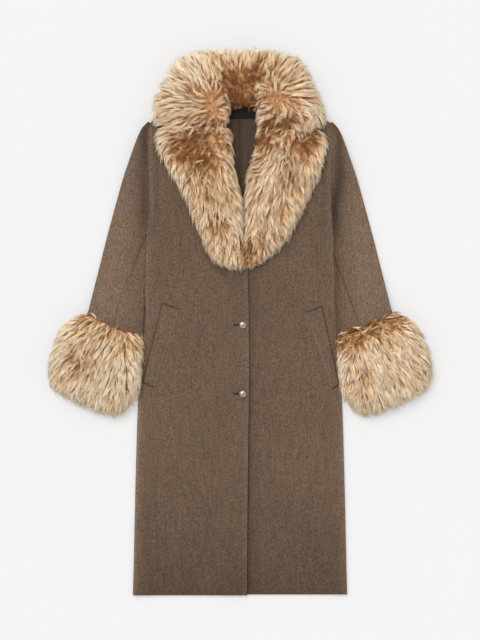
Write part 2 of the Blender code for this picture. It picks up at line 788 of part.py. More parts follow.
def new_collection(name):
    collection = bpy.data.collections.new(name)
    bpy.context.scene.collection.children.link(collection)
    return collection


def build_cloth(coat, cutters):
    rows_without_strip = [row.folded for row in sleeve_rows(-1)].index(True)
    back_columns = FOLD_STEPS + SLEEVE_COLUMNS + 1
    for name, side in SIDES.items():
        lay_cloth(f"back_{name}", back_rows(side), coat)
        lay_cloth(f"sleeve_top_{name}", sleeve_top_rows(side), coat)
        under_rows = sleeve_under_rows(side)
        columns = range(back_columns, len(under_rows[0]))
        left_out = [(row, column) for row in range(rows_without_strip) for column in columns]
        lay_cloth(f"sleeve_under_{name}", under_rows, coat, left_out=left_out)
        lay_cloth(f"welt_{name}", welt_rows(side), coat, wall=WELT_CLOTH)
    lay_cloth("front_under", front_rows(1), coat)
    over = lay_cloth("front_over", front_rows(-1), coat)
    for y in BUTTON_YS.values():
        cut_buttonhole(over, y, cutters)


def build_fur(coat):
    loft("collar_fur", [collar_ring(row) for row in COLLAR], coat, "fur")
    for name, side in SIDES.items():
        loft(f"lapel_fur_{name}", [lapel_ring(side, row) for row in LAPELS[side]], coat, "fur")
        loft(f"cuff_fur_{name}", cuff_rings(side), coat, "fur", ring_shaped=True)


def build():
    clear_scene()
    coat = new_collection("long_coat")
    cutters = new_collection("cutters")
    build_cloth(coat, cutters)
    build_fur(coat)
    for name, y in BUTTON_YS.items():
        turned_button(name, y, coat)
    neck_label(coat)


build()
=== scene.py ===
"""Looks of the long wool coat with its fur collar, fur lapels and fur cuffs, laid flat.

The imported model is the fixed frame. Unless a comment says metres, sizes are in millimetres, seen
from above: x to the right, y from the hem to the collar, headings in degrees, 0 right and 90 up.
"""
import math
from collections import namedtuple

import bmesh
import bpy
import numpy as np
from bpy.props import FloatProperty, FloatVectorProperty, IntProperty
from bpy.types import Operator, Panel, PropertyGroup
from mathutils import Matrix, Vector
from mathutils.bvhtree import BVHTree


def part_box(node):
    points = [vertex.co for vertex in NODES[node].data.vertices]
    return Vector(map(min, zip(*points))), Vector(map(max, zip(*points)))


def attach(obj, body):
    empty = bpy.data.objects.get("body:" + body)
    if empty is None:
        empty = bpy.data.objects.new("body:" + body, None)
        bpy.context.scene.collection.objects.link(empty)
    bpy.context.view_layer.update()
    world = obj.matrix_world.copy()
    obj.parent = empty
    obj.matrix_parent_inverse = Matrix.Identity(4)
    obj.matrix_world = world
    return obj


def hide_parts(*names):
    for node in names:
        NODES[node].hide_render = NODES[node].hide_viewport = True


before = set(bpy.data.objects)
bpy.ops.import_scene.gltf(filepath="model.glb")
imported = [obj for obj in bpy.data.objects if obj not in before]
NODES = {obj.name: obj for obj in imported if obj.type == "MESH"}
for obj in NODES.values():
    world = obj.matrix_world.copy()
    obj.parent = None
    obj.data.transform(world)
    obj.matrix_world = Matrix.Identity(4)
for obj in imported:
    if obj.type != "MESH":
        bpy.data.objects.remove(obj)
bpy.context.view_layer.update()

bl_info = {
    "name": "Long Fur Trimmed Coat",
    "version": (1, 0, 0),
    "blender": (4, 5, 0),
    "location": "3D View > Sidebar > Coat",
    "description": "Makes the looks of a long wool coat with fur collar and cuffs",
    "category": "Object",
}

MM = 0.001
BODY = "root"


def rows(columns, values):
    """A table whose columns have names."""
    return tuple(columns(*row) for row in values)


# Heights that the cloth lies at, as in the model
CLOTH_TOP = 6.2
LIFT = 10.3
LIFT_START_Y = 170.0
LIFT_END_Y = 452.0
SHOULDER_Y = 481.0
SHOULDER_HALF = 212.0
NECK_SIDE_Y = 531.0
NECK_HALF = 66.0
CUFF_LIFT = 10.4

# Where hair meets cloth: the body's half width, the rise beside it, and the sleeve above the cuff
CLOTH_HALF = 235.0
BESIDE_BODY = 1.8
SLEEVE_INSET = 2.4
SLEEVE_END_ALONG = 6.0

# The cuffs' own axis
CUFF_OUT = 304.0
CUFF_Y = -6.0
CUFF_LEAN = math.radians(22.5)
SLEEVE_HALF = 68.0

# Cloth panels: flat width, length and cut area in metres, and how pale the cloth is
Cut = namedtuple("Cut", "node width length area tone")
CLOTH_PANELS = (
    Cut("back_left", 0.266, 1.192, 0.281, 1.0),
    Cut("back_right", 0.266, 1.192, 0.281, 1.0),
    Cut("front_under", 0.284, 1.192, 0.287, 1.0),
    Cut("front_over", 0.284, 1.192, 0.287, 1.0),
    Cut("sleeve_top_left", 0.130, 0.690, 0.045, 1.0),
    Cut("sleeve_top_right", 0.140, 0.690, 0.052, 1.0),
    Cut("sleeve_under_left", 0.215, 0.690, 0.089, 1.0),
    Cut("sleeve_under_right", 0.200, 0.690, 0.083, 1.0),
    Cut("welt_left", 0.044, 0.205, 0.0079, 1.04),
    Cut("welt_right", 0.042, 0.200, 0.0067, 1.04),
)

# Flat width and length of each fur piece, and its cut area, in metres
Fur = namedtuple("Fur", "flat area")

# Creases raised in the upper layer: middle, direction, length, width and height
Crease = namedtuple("Crease", "x y heading length width height")
CREASE_BEND = 0.00045
CREASES = rows(Crease, (
    (-170, 150, 62, 190, 34, 1.3),
    (-120, -40, 86, 260, 46, 0.9),
    (-60, -250, 92, 330, 58, 1.1),
    (-190, -330, 84, 290, 42, 1.2),
    (-130, -520, 95, 230, 50, 1.4),
    (60, -150, 88, 280, 48, 0.9),
    (150, -300, 94, 310, 54, 1.2),
    (200, -480, 87, 260, 40, 1.3),
    (90, -560, 91, 170, 46, 1.1),
    (175, 130, 118, 170, 36, 1.2),
    (-270, 215, 58, 120, 26, 1.6),
    (-300, 120, 74, 150, 24, 1.3),
    (-262, 330, 80, 140, 22, 1),
    (268, 220, 120, 110, 26, 1.6),
    (300, 110, 107, 150, 26, 1.4),
    (258, 340, 98, 130, 22, 1),
))

# Side edge of the body, and the armhole above the underarm
EDGE_YS = (-659.0, -400.0, -227.0, -42.0, 107.0, 205.0, 270.0, 409.0, 462.0, 481.0)
EDGE_OUTS = (258.0, 252.0, 247.0, 235.5, 228.0, 224.5, 220.0, 222.0, 221.5, 212.0)

# The front edge, up to where the lapel folds out
OVERLAP = 18.0
BREAK_Y = 190.0
BEND_YS = (-585.0, -345.0, -115.0, 50.0, 190.0)
BENDS = (-1.0, 1.2, 4.6, 2.4, 0.0)
BENT_WIDTH = 8.0
OVER_COLUMNS = (-6.0, 0.0, 5.0, 9.0, 12.0, 14.5, 16.5)
UNDER_COLUMNS = (16.0, 18.5, 20.5, 23.0, 26.0, 30.0, 35.0, 42.0, 52.0)

# Corners of the pocket welts, from the upper outer one round to the lower outer one
WELTS = {
    -1: ((188.0, 44.0), (145.0, 31.0), (207.0, -160.0), (234.0, -147.0)),
    1: ((197.5, 38.0), (157.0, 23.0), (221.0, -165.0), (238.0, -150.0)),
}

# A sleeve is pressed against the body below the underarm
UNDERARM_Y = 236.0
PRESSED = 14.0
PRESSED_IN = 2.0

# How near the middle line a back panel's seam edge is, and how much of that gap stays
SEAM_REACH = 1.0
SEAM_CLOSED = 0.05

# Cloth meshes: where the upper layer starts, the angle of a fold, the rounding of edges, welding
PANEL_THICK = 2.6
LAYER_STEP = 1.4
FOLD_ANGLE = math.radians(40.0)
ROUNDING = 1.0
WELDED = 0.02

# Front seam of each sleeve, from the underarm to the cuff
SLEEVE_SEAMS = {
    -1: ((228.0, 205.0), (296.0, 24.0), (303.0, -6.0)),
    1: ((230.0, 150.0), (277.0, 17.0), (288.0, -12.0)),
}

# Shade on the sleeves beside the body: its place, how far out its middle is, its width and depth
Shade = namedtuple("Shade", "y middle width depth")
SLEEVE_SHADES = {
    -1: rows(Shade, (
        (-20, 0, 14, 0.15),
        (170, 0, 12, 0.10),
        (225, 6, 16, 0.36),
        (267, 8, 17, 0.45),
        (351, 8, 14, 0.38),
        (435, 6, 14, 0.50),
        (470, 6, 14, 0.42),
    )),
    1: rows(Shade, (
        (-20, 0, 13, 0.36),
        (170, 0, 13, 0.38),
        (225, 2, 18, 0.60),
        (267, 4, 20, 0.70),
        (351, 19, 17, 0.54),
        (435, 16, 9, 0.40),
        (470, 12, 9, 0.34),
    )),
}

# Painted light and shade on the cloth: how much paler or darker parts of it are than its own colour, and
# where the lapels end
BODY_TONE = 0.92
NECK_SHADE_TONE = 0.55
NECK_START_Y = 165.0
HEM_SHADE = 0.27
LEFT_PAINTED_LIGHT = 0.09
FRONT_SHADE = 0.25
FRONT_HIGHLIGHT = 0.14
SIDE_HIGHLIGHTS = {-1: 0.40, 1: 0.26}
LAPEL_END_X = -12.0
LAPEL_END_Y = 111.0
LAPEL_SHADE = 0.34
ARMHOLE_HIGHLIGHTS = {-1: 0.20, 1: 0.08}
ARMHOLE_SHADE = 0.10
WELT_END_SHADE = 0.66
WELT_SEAM_SHADE = 0.56
WELT_HIGHLIGHT = 0.22
WELT_PRESSED = 1.3
SLEEVE_TONE = 1.02
SLEEVE_PAINTED_LIGHT = 0.26
SLEEVE_SEAM_SHADE = 0.30
RIM_SHADE = 0.60
TOUCHING_SHADE = 0.15

# How the hair lies: its place, heading and length, and how dark it is: how much of its dark root shows, and
# near the middle of the neck painted shade as well
Lay = namedtuple("Lay", "x y heading length dark")
COLLAR_LAY = rows(Lay, (
    (-188, 488, 208, 20, -0.1),
    (-192, 530, 178, 40, -0.2),
    (-160, 500, 190, 38, -0.1),
    (-150, 560, 152, 50, -0.3),
    (-112, 520, 165, 46, -0.15),
    (-122, 590, 134, 46, -0.35),
    (-92, 560, 120, 50, -0.25),
    (-130, 630, 122, 38, -0.5),
    (-84, 610, 112, 46, -0.3),
    (-95, 645, 110, 29, -0.6),
    (-83, 507, 170, 36, 0.2),
    (-58, 550, 88, 46, 0.25),
    (-50, 520, 30, 25, 0.15),
    (-44, 490, 350, 23, 0.15),
    (-72, 476, 215, 34, 0.5),
    (-135, 476, 185, 46, 0.1),
    (-62, 622, 112, 36, 0.45),
    (-30, 640, 97, 27, -0.9),
    (0, 645, 90, 27, -1),
    (30, 640, 84, 27, -0.8),
    (-24, 606, 100, 36, -0.15),
    (10, 606, 88, 36, -0.2),
    # Inside the back of the neck the hair is darkened: painted shade deep in the neck
    (-20, 576, 120, 26, 1.4),
    (15, 574, 60, 26, 1.4),
    (-22, 550, 278, 24, 1.75),
    (5, 545, 270, 22, 1.7),
    (30, 550, 262, 24, 1.8),
    (-12, 522, 275, 14, 1),
    (20, 522, 266, 14, 1.1),
    (50, 618, 78, 36, 0.65),
    (58, 590, 82, 38, 0.5),
    (80, 640, 74, 32, -0.6),
    (112, 630, 60, 46, -0.5),
    (104, 590, 58, 48, 0),
    (142, 590, 36, 48, -0.1),
    (152, 550, 5, 50, -0.1),
    (112, 545, 8, 44, 0.1),
    (83, 547, 80, 30, 0.35),
    (60, 550, 172, 27, 0.2),
    (60, 510, 186, 27, 0.1),
    (98, 512, 300, 38, 0.1),
    (150, 510, 336, 46, -0.2),
    (182, 500, 322, 36, -0.25),
    (176, 474, 286, 22, -0.2),
    (107, 487, 240, 32, 1.1),
    (84, 470, 215, 32, 1.2),
    (140, 480, 300, 38, 0.2),
    (56, 474, 204, 26, 0.2),
    (-160, 468, 205, 24, 0),
    (-118, 468, 224, 38, 0.15),
    (-84, 467, 238, 34, 0.6),
    (-48, 467, 262, 28, 0.3),
    (52, 463, 242, 34, 0.2),
    (84, 463, 252, 32, 0.75),
    (118, 463, 268, 36, 0.35),
    (152, 463, 286, 30, 0.3),
))
LAPEL_LAYS = {
    -1: rows(Lay, (
        (-188, 452, 202, 30, -0.25),
        (-186, 430, 206, 42, -0.3),
        (-180, 402, 228, 44, -0.05),
        (-140, 452, 178, 40, 0.40),
        (-130, 412, 195, 28, 1.15),
        (-86, 455, 160, 26, 1.15),
        (-108, 432, 210, 28, 0.90),
        (-86, 402, 262, 30, 1.00),
        (-36, 450, 340, 20, 0.3),
        (-50, 422, 312, 26, 0.5),
        (-26, 400, 296, 30, 0.1),
        (-150, 370, 260, 42, -0.15),
        (-110, 370, 268, 42, 0.45),
        (-70, 370, 278, 42, 0.50),
        (-26, 350, 286, 36, 0.15),
        (-135, 320, 261, 42, -0.05),
        (-90, 312, 273, 44, 0.40),
        (-40, 310, 286, 42, 0.25),
        (-102, 260, 262, 42, 0.05),
        (-62, 275, 282, 44, 0.15),
        (-20, 260, 298, 44, -0.20),
        (-56, 243, 290, 38, 0.75),
        (-80, 210, 262, 40, 0.25),
        (-22, 216, 298, 40, -0.05),
        (-56, 182, 266, 40, 0.35),
        (-22, 176, 274, 38, 0.20),
        (-3, 196, 280, 34, 0.65),
    )),
    1: rows(Lay, (
        (68, 450, 225, 28, 1.08),
        (102, 448, 252, 36, 0.33),
        (156, 438, 320, 34, 1.23),
        (194, 440, 338, 42, -0.17),
        (200, 412, 300, 42, -0.17),
        (60, 420, 232, 30, 0.58),
        (40, 396, 212, 30, 0.53),
        (90, 400, 250, 42, 0.08),
        (132, 402, 264, 42, 0.53),
        (180, 385, 284, 42, -0.07),
        (32, 365, 206, 34, 0.48),
        (70, 365, 242, 44, -0.07),
        (120, 360, 264, 42, 0.68),
        (168, 345, 284, 42, 0.08),
        (38, 320, 246, 42, 0.13),
        (90, 318, 258, 44, 0.13),
        (142, 305, 286, 44, 0.13),
        (30, 270, 254, 42, 0.03),
        (80, 265, 266, 44, 0.33),
        (126, 258, 295, 42, 0.08),
        (30, 225, 260, 42, 0.53),
        (75, 220, 272, 42, 0.13),
        (106, 212, 304, 40, -0.07),
        (24, 184, 262, 38, 0.83),
        (52, 176, 274, 40, 0.33),
        (76, 172, 298, 38, 0.03),
    )),
}

# On the cuffs the places are along the sleeve and away from the body, and 0 heads along the sleeve
CuffLay = namedtuple("CuffLay", "along away heading length dark")
CUFF_LAYS = {
    -1: rows(CuffLay, (
        (3, -66, -60, 38, 0.30),
        (3, -30, -14, 34, 0.35),
        (3, 10, 8, 34, 0.40),
        (3, 50, 26, 34, 0.35),
        (50, -84, -48, 48, -0.42),
        (50, -20, 2, 48, -0.20),
        (50, 40, 12, 48, 0.05),
        (50, 100, 30, 46, -0.26),
        (99, -98, -32, 48, -0.38),
        (99, -30, 0, 48, -0.38),
        (92, 36, 8, 46, 0.72),
        (66, 42, 12, 46, 0.45),
        (122, 26, 6, 46, 0.35),
        (99, 95, 18, 46, -0.28),
        (150, -104, -24, 46, -0.22),
        (150, -30, 0, 48, -0.34),
        (150, 30, 6, 48, -0.18),
        (150, 90, 14, 46, -0.22),
        (190, -70, -10, 40, -0.02),
        (190, 0, 0, 40, -0.02),
        (190, 60, 10, 40, -0.02),
    )),
    1: rows(CuffLay, (
        (3, -66, -60, 36, 0.80),
        (3, -30, -16, 30, 0.78),
        (3, 10, 8, 30, 0.88),
        (3, 50, 34, 30, 0.68),
        (34, 15, 6, 40, 0.23),
        (50, -84, -48, 48, -0.42),
        (60, -20, 0, 48, -0.32),
        (60, 40, 14, 48, -0.02),
        (50, 100, 34, 46, -0.37),
        (96, -57, -2, 44, 0.48),
        (99, -98, -32, 48, -0.37),
        (99, -10, 2, 48, -0.27),
        (99, 45, 12, 48, -0.02),
        (99, 95, 20, 46, -0.22),
        (150, -104, -24, 46, -0.02),
        (150, -30, 0, 48, -0.32),
        (150, 30, 8, 48, -0.07),
        (150, 90, 16, 46, 0.03),
        (190, -70, -10, 40, -0.02),
        (190, 0, 0, 40, -0.02),
        (190, 60, 12, 40, -0.02),
    )),
}
LAY_REACH = 16.0

# Start of the random draws of each kind of fur
COLLAR_SEED = 11
LAPEL_SEED = 20
CUFF_SEED = 40

# Shape of a lock of hair and of the hairs in it
PATH_STEPS = 7
LOCK_SPACING = 0.78
LOCK_HALF = 4.0
LOCK_TIP_HALF = 1.2
LOCK_CROWN = 1.3
HAIR_GIRTHS = (0.34, 0.50, 0.74)
GIRTH_CHANCES = (0.35, 0.40, 0.25)
RING_GIRTHS = (1.0, 0.95, 0.62)
HAIR_RINGS = 3
HAIR_SIDES = 3
LOOSE_RISE = (-3.0, 6.0)

# How locks and hairs stray from the table, as ranges or spreads, and shares of a lock's length
MESS = 0.20
DARK_MESS = 1.10
MESSY_FROM = 0.3
REACHES = (0.85, 1.45)
LONG_CHANCE = 0.12
LONG_REACH = 1.3
DROOPS = (0.0, 0.4)
DARK_SPREAD = 0.12
LOCK_WIDTHS = (0.7, 1.25)
LOCK_TONE_SPREAD = 0.17
HAIR_TONE_SPREAD = 0.16
HAIR_STARTS = (0.0, 0.28)
HAIR_ENDS = (0.62, 1.0)
SWAY_SPREAD = 1.3
WAVE_WIDTH = 0.8
WAVE_TURNS = 5.0
LEVEL_HEIGHT = 1.1

# Ripeness of a hair: at its root, its rise to the tip, and what darkness and tone do to it; the darkness is
# partly painted shade in the back of the neck
RIPE_ROOT = 0.19
RIPE_RISE = 0.80
DARK_LOSS = 0.34
DEEP_FROM = 0.4
DEEP_LOSS = 0.45
TONE_GAIN = 0.50
CUFF_RISE = (-1.0, 6.5)

# The form that the hair lies on: larger than its solid, drawn in at the collar's top, nearer
# to the body at the cuffs
FORM_SWELL = 1.6
TOP_SINK = 8.0
TOP_SINK_START = 605.0
TOP_SINK_REACH = 50.0
CUFF_NEARER = 3.0
CUFF_INNER_OUT = 264.0
CUFF_NEARER_REACH = 16.0
PELT_WALL = 1.6

# The seam between the collar and the lapels
SEAM_YS = {-1: 465.6, 1: 460.6}
SEAM_WALL = 3.5
SEAM_FACING = 0.75
NOTCH_START = 178.0

# Where no hair grows: under the neck, on undersides and in the cuffs' hollows. The rest stays
# clear of the floor
COVERED_HEIGHT = 12.0
COVERED_MARGIN = 3.0
FACING_DOWN = -0.25
CUFF_FACING_DOWN = -0.55
CUFF_LENGTH = 200.0
CUFF_HOLLOW_HALF = 70.5
CUFF_HOLLOW_LOW = 8.0
CUFF_HOLLOW_HIGH = 26.0
FLOOR_CLEARANCE = 0.7

# Places of the buttons
BUTTONS = {"button_upper": (7.0, -8.4), "button_lower": (7.0, -174.0)}

# Outline of a button: shares of its radius, and how far below its top
BUTTON_PROFILE = (
    (0.0, 0.0), (0.30, 0.2), (0.55, 0.7), (0.74, 1.4), (0.80, 1.8), (0.84, 1.7),
    (0.92, 1.8), (0.98, 2.4), (1.0, 3.1), (0.97, 4.0), (0.90, 4.4),
)
BUTTON_DOME = 4.4
SHANK_TOP_RADIUS = 1.4
SHANK_RADIUS = 1.3
BUTTON_STEPS = 40

# Buttonholes
SLIT_START = -15.0
SLIT_HALF = 0.35
SLIT_STITCHES = 20
EYE_RADIUS = 1.4
EYE_STITCHES = 9
STITCH_LENGTH = 3.2
STITCH_HALF = 0.46
STITCH_SINK = 0.3
THREAD = (0.082, 0.055, 0.037)

# Label
LABEL_THREAD = (0.030, 0.026, 0.024)
LABEL_STITCHES = 12
LABEL_STITCH_STEP = 2.2
LABEL_MARGIN = 1.8
LABEL_SWELL = 0.5

# Stage, in metres, with the lens and sensor in millimetres
FLOOR_HALF = 30.0
KEY_SPREAD = math.radians(36.0)
KEY_TOWARDS = (0.42, -0.62, -1.0)
LENS = 100.0
SENSOR = 36.0
PHOTO_HEIGHT = 1.536
PHOTO_MIDDLE_Y = 0.0036
SEEN_HEIGHT = 0.018


def smooth(share):
    """Ease from 0 to 1."""
    share = min(1.0, max(0.0, share))
    return share * share * (3.0 - 2.0 * share)


def bell(distance, width):
    """1 in the middle, falling to nothing a few widths away."""
    return math.exp(-((distance / width) ** 2))


def lift(y):
    """How far the fur under the shoulders raises the cloth."""
    return LIFT * smooth((y - LIFT_START_Y) / (LIFT_END_Y - LIFT_START_Y))


def shoulder_line(out):
    """Where the shoulder seam crosses a distance from the middle line."""
    share = (out - NECK_HALF) / (SHOULDER_HALF - NECK_HALF)
    return NECK_SIDE_Y + (SHOULDER_Y - NECK_SIDE_Y) * share


def body_edge(y):
    """Distance of the body's side edge from the middle line."""
    return float(np.interp(y, EDGE_YS, EDGE_OUTS))


def cloth_height(x, y):
    """Top of the cloth that fur lies on, or the floor beside the coat."""
    if abs(x) > CLOTH_HALF or y > shoulder_line(max(abs(x), NECK_HALF)):
        return FLOOR_CLEARANCE
    return lift(y) + CLOTH_TOP


def to_cuff(side, x, y):
    """A place in the cuff's own frame: along the sleeve and away from the body."""
    out = side * x - CUFF_OUT
    down = CUFF_Y - y
    along = math.cos(CUFF_LEAN) * down + math.sin(CUFF_LEAN) * out
    away = math.cos(CUFF_LEAN) * out - math.sin(CUFF_LEAN) * down
    return along, away


def sleeve_height(side, x, y):
    """Top of the sleeve above the cuff, or the floor."""
    along, away = to_cuff(side, x, y)
    if along < SLEEVE_END_ALONG and abs(away) < SLEEVE_HALF:
        return CUFF_LIFT + 2.0 * CLOTH_TOP - SLEEVE_INSET
    if abs(x) < body_edge(y) + 1.0:
        return CLOTH_TOP + BESIDE_BODY
    return FLOOR_CLEARANCE


class Channel:
    """A node's output that can be used in sums."""

    def __init__(self, shades, socket):
        self.shades = shades
        self.socket = socket

    def combine(self, operation, first, second):
        return self.shades.make("ShaderNodeMath", {"operation": operation}, {0: first, 1: second})

    def __add__(self, other):
        return self.combine("ADD", self, other)

    __radd__ = __add__

    def __mul__(self, other):
        return self.combine("MULTIPLY", self, other)

    __rmul__ = __mul__


class Shades:
    """Nodes of one material."""

    def __init__(self, name, roughness, specular, constants=None):
        self.material = bpy.data.materials.new(name)
        self.material.use_nodes = True
        self.tree = self.material.node_tree
        self.shader = self.tree.nodes["Principled BSDF"]
        self.shader.inputs["Roughness"].default_value = roughness
        self.shader.inputs["Specular IOR Level"].default_value = specular
        for socket, value in (constants or {}).items():
            self.shader.inputs[socket].default_value = value

    def make(self, kind, settings, sockets, output=0):
        """Any node: its settings first, then the values or links of its sockets."""
        node = self.tree.nodes.new(kind)
        for setting, value in settings.items():
            if setting == "stops":
                self.set_stops(node.color_ramp, value)
            else:
                setattr(node, setting, value)
        for key, value in sockets.items():
            socket = self.find(node.inputs, key)
            if isinstance(value, Channel):
                self.tree.links.new(value.socket, socket)
            else:
                socket.default_value = value
        return Channel(self, self.find(node.outputs, output))

    @staticmethod
    def find(sockets, key):
        """A socket by its number, name or identifier."""
        if isinstance(key, int):
            return sockets[key]
        for socket in sockets:
            if key in (socket.identifier, socket.name) and socket.enabled:
                return socket
        raise KeyError(f"no socket named {key}")

    @staticmethod
    def set_stops(ramp, stops):
        ramp.elements.remove(ramp.elements[1])
        ramp.elements[0].position = stops[0][0]
        ramp.elements[0].color = (*stops[0][1], 1.0)
        for position, colour in stops[1:]:
            ramp.elements.new(position).color = (*colour, 1.0)

    def place(self):
        return self.make("ShaderNodeTexCoord", {}, {}, "Object")

    def attribute(self, name):
        return self.make("ShaderNodeAttribute", {"attribute_name": name}, {}, "Fac")

    def stretch(self, vector, scale):
        return self.make("ShaderNodeVectorMath", {"operation": "MULTIPLY"}, {0: vector, 1: scale})

    def noise(self, vector, scale, detail=2.0):
        return self.make("ShaderNodeTexNoise", {}, {"Vector": vector, "Scale": scale, "Detail": detail})

    def ramp(self, value, stops):
        return self.make("ShaderNodeValToRGB", {"stops": stops}, {0: value})

    def spread(self, value, low, high, start=0.0, end=1.0):
        names = {"Value": value, "From Min": low, "From Max": high, "To Min": start, "To Max": end}
        return self.make("ShaderNodeMapRange", {"clamp": True}, names)

    def mix(self, factor, first, second, blend="MIX"):
        settings = {"data_type": "RGBA", "blend_type": blend}
        sockets = {"Factor_Float": factor, "A_Color": first, "B_Color": second}
        return self.make("ShaderNodeMix", settings, sockets, "Result_Color")

    def scaled(self, colour, amount):
        """A colour times a number that changes over the surface."""
        grey = self.make("ShaderNodeCombineColor", {}, {0: amount, 1: amount, 2: amount})
        return self.mix(1.0, colour, grey, "MULTIPLY")

    def feed(self, socket, channel):
        self.tree.links.new(channel.socket, self.shader.inputs[socket])

    def bump(self, height, strength, distance):
        values = {"Strength": strength, "Distance": distance, "Height": height}
        self.feed("Normal", self.make("ShaderNodeBump", {}, values))


def wool_material(settings):
    """Brushed wool melange with a fine grain that runs along the coat."""
    constants = {"Sheen Weight": settings.sheen, "Sheen Roughness": 0.45}
    shades = Shades("brushed_wool", 0.95, 0.12, constants)
    place = shades.place()
    grain = shades.noise(shades.stretch(place, (1.0, 0.34, 1.0)), 620.0, 3.0)
    flecks = shades.noise(shades.stretch(place, (1.0, 0.55, 1.0)), 400.0, 2.0)
    streaks = shades.noise(shades.stretch(place, (1.0, 0.10, 1.0)), 230.0, 2.0)
    clouds = shades.noise(place, 7.0, 2.0)
    # The tone attribute carries the cloth's painted light and shade
    tone = shades.attribute("tone")
    value = tone * (-0.225 + grain * 0.60 + flecks * 1.10 + streaks * 0.55 + clouds * 0.20)
    dark = (*settings.wool_dark, 1.0)
    light = (*settings.wool_light, 1.0)
    colour = shades.mix(shades.spread(flecks, 0.3, 0.7), dark, light)
    shades.feed("Base Color", shades.scaled(colour, value))
    shades.bump(grain * 0.7 + flecks * 0.5, 0.45, 0.0009)
    return shades.material


def fur_material(settings):
    """Hair that goes from its dark root to its pale tip."""
    shades = Shades("combed_hair", 0.80, 0.05)
    stops = (
        (0.0, settings.fur_root),
        (0.22, settings.fur_low),
        (0.50, settings.fur_middle),
        (0.88, settings.fur_tip),
    )
    colour = shades.ramp(shades.attribute("ripeness"), stops)
    value = 0.86 + 0.26 * shades.attribute("tone")
    shades.feed("Base Color", shades.scaled(colour, value))
    return shades.material


def pelt_material(settings):
    """The dense under-wool that the hair grows from."""
    shades = Shades("under_wool", 0.95, 0.02)
    place = shades.place()
    tufts = shades.noise(place, 180.0, 3.0)
    wisps = shades.noise(place, 700.0, 2.0)
    colour = shades.mix(shades.spread(tufts, 0.3, 0.7), (*settings.fur_root, 1.0), (*settings.fur_low, 1.0))
    shades.feed("Base Color", shades.scaled(colour, 0.7 + 0.6 * wisps))
    shades.bump(tufts + wisps * 0.5, 0.8, 0.002)
    return shades.material


def metal_material(settings):
    """Pale worn metal, darker in its fine scratches."""
    shades = Shades("pale_button_metal", 0.32, 0.5, {"Metallic": 1.0})
    place = shades.place()
    wear = shades.noise(place, 420.0, 3.0)
    shades.feed("Roughness", shades.spread(wear, 0.3, 0.7, 0.22, 0.42))
    colour = tuple(settings.metal)
    worn = tuple(part * 0.62 for part in colour)
    shades.feed("Base Color", shades.mix(shades.spread(wear, 0.25, 0.6), (*worn, 1.0), (*colour, 1.0)))
    shades.bump(wear, 0.15, 0.0004)
    return shades.material


def thread_material(name, colour):
    """Twisted sewing thread."""
    shades = Shades(name, 0.7, 0.2)
    twist = shades.noise(shades.place(), 1600.0, 1.0)
    shades.feed("Base Color", shades.scaled((*colour, 1.0), 0.7 + 0.6 * twist))
    return shades.material


def label_material(settings):
    """Black satin-woven tape."""
    shades = Shades("woven_label", 0.65, 0.15)
    place = shades.place()
    waves = {"wave_type": "BANDS", "bands_direction": "Y"}
    weft = shades.make("ShaderNodeTexWave", waves, {"Vector": place, "Scale": 420.0, "Distortion": 0.6}, 1)
    warp = shades.noise(shades.stretch(place, (1.0, 0.2, 1.0)), 1500.0, 1.0)
    value = 0.7 + 0.4 * weft + 0.3 * warp
    shades.feed("Base Color", shades.scaled((*settings.label, 1.0), value))
    shades.bump(weft, 0.3, 0.0003)
    return shades.material


def material_for(kind, settings):
    """The finished material of one kind, made once."""
    makers = {
        "brushed_wool": wool_material,
        "combed_hair": fur_material,
        "under_wool": pelt_material,
        "pale_button_metal": metal_material,
        "woven_label": label_material,
    }
    return bpy.data.materials.get(kind) or makers[kind](settings)


def merged_copy(node):
    """The solid of a node with its triangles joined into faces."""
    shape = bmesh.new()
    shape.from_mesh(NODES[node].data)
    bmesh.ops.remove_doubles(shape, verts=shape.verts, dist=WELDED * MM)
    limits = {"angle_face_threshold": math.radians(25.0), "angle_shape_threshold": math.pi}
    bmesh.ops.join_triangles(shape, faces=shape.faces, **limits)
    return shape


def subdivided(shape, levels, rims_stay):
    """A smooth finer mesh of a shape, with its folds kept crisp where rims_stay says so."""
    if rims_stay:
        crease = shape.edges.layers.float.new("crease_edge")
        for edge in shape.edges:
            if edge.calc_face_angle(0.0) > FOLD_ANGLE:
                edge[crease] = 1.0
    if levels > 1:
        bmesh.ops.subdivide_edges(shape, edges=shape.edges[:], cuts=1, use_grid_fill=True)
        levels -= 1
    mesh = bpy.data.meshes.new("rough")
    shape.to_mesh(mesh)
    shape.free()
    rough = bpy.data.objects.new("rough", mesh)
    bpy.context.scene.collection.objects.link(rough)
    finer = rough.modifiers.new("Smooth", "SUBSURF")
    finer.levels = levels
    finer.render_levels = levels
    finer.boundary_smooth = "PRESERVE_CORNERS"
    view_layer = bpy.context.evaluated_depsgraph_get()
    smooth_mesh = bpy.data.meshes.new_from_object(rough.evaluated_get(view_layer))
    bpy.data.objects.remove(rough)
    bpy.data.meshes.remove(mesh)
    finer_shape = bmesh.new()
    finer_shape.from_mesh(smooth_mesh)
    bpy.data.meshes.remove(smooth_mesh)
    return finer_shape


def place(name, shape, material, smooth_angle=50.0):
    """Turn a bmesh into a piece of the coat."""
    mesh = bpy.data.meshes.new(name)
    shape.to_mesh(mesh)
    shape.free()
    return place_mesh(name, mesh, material, smooth_angle)


def place_mesh(name, mesh, material, smooth_angle=50.0):
    """Turn a mesh into a piece of the coat, with sharp edges where it folds more than the angle."""
    mesh.shade_smooth()
    if smooth_angle:
        mesh.set_sharp_from_angle(angle=math.radians(smooth_angle))
    mesh.materials.clear()
    mesh.materials.append(material)
    piece = bpy.data.objects.new(name, mesh)
    bpy.context.scene.collection.objects.link(piece)
    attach(piece, BODY)
    return piece


def add_values(mesh, name, values):
    """Store one number for each vertex."""
    layer = mesh.attributes.new(name, "FLOAT", "POINT")
    layer.data.foreach_set("value", np.asarray(values, dtype=np.float32))


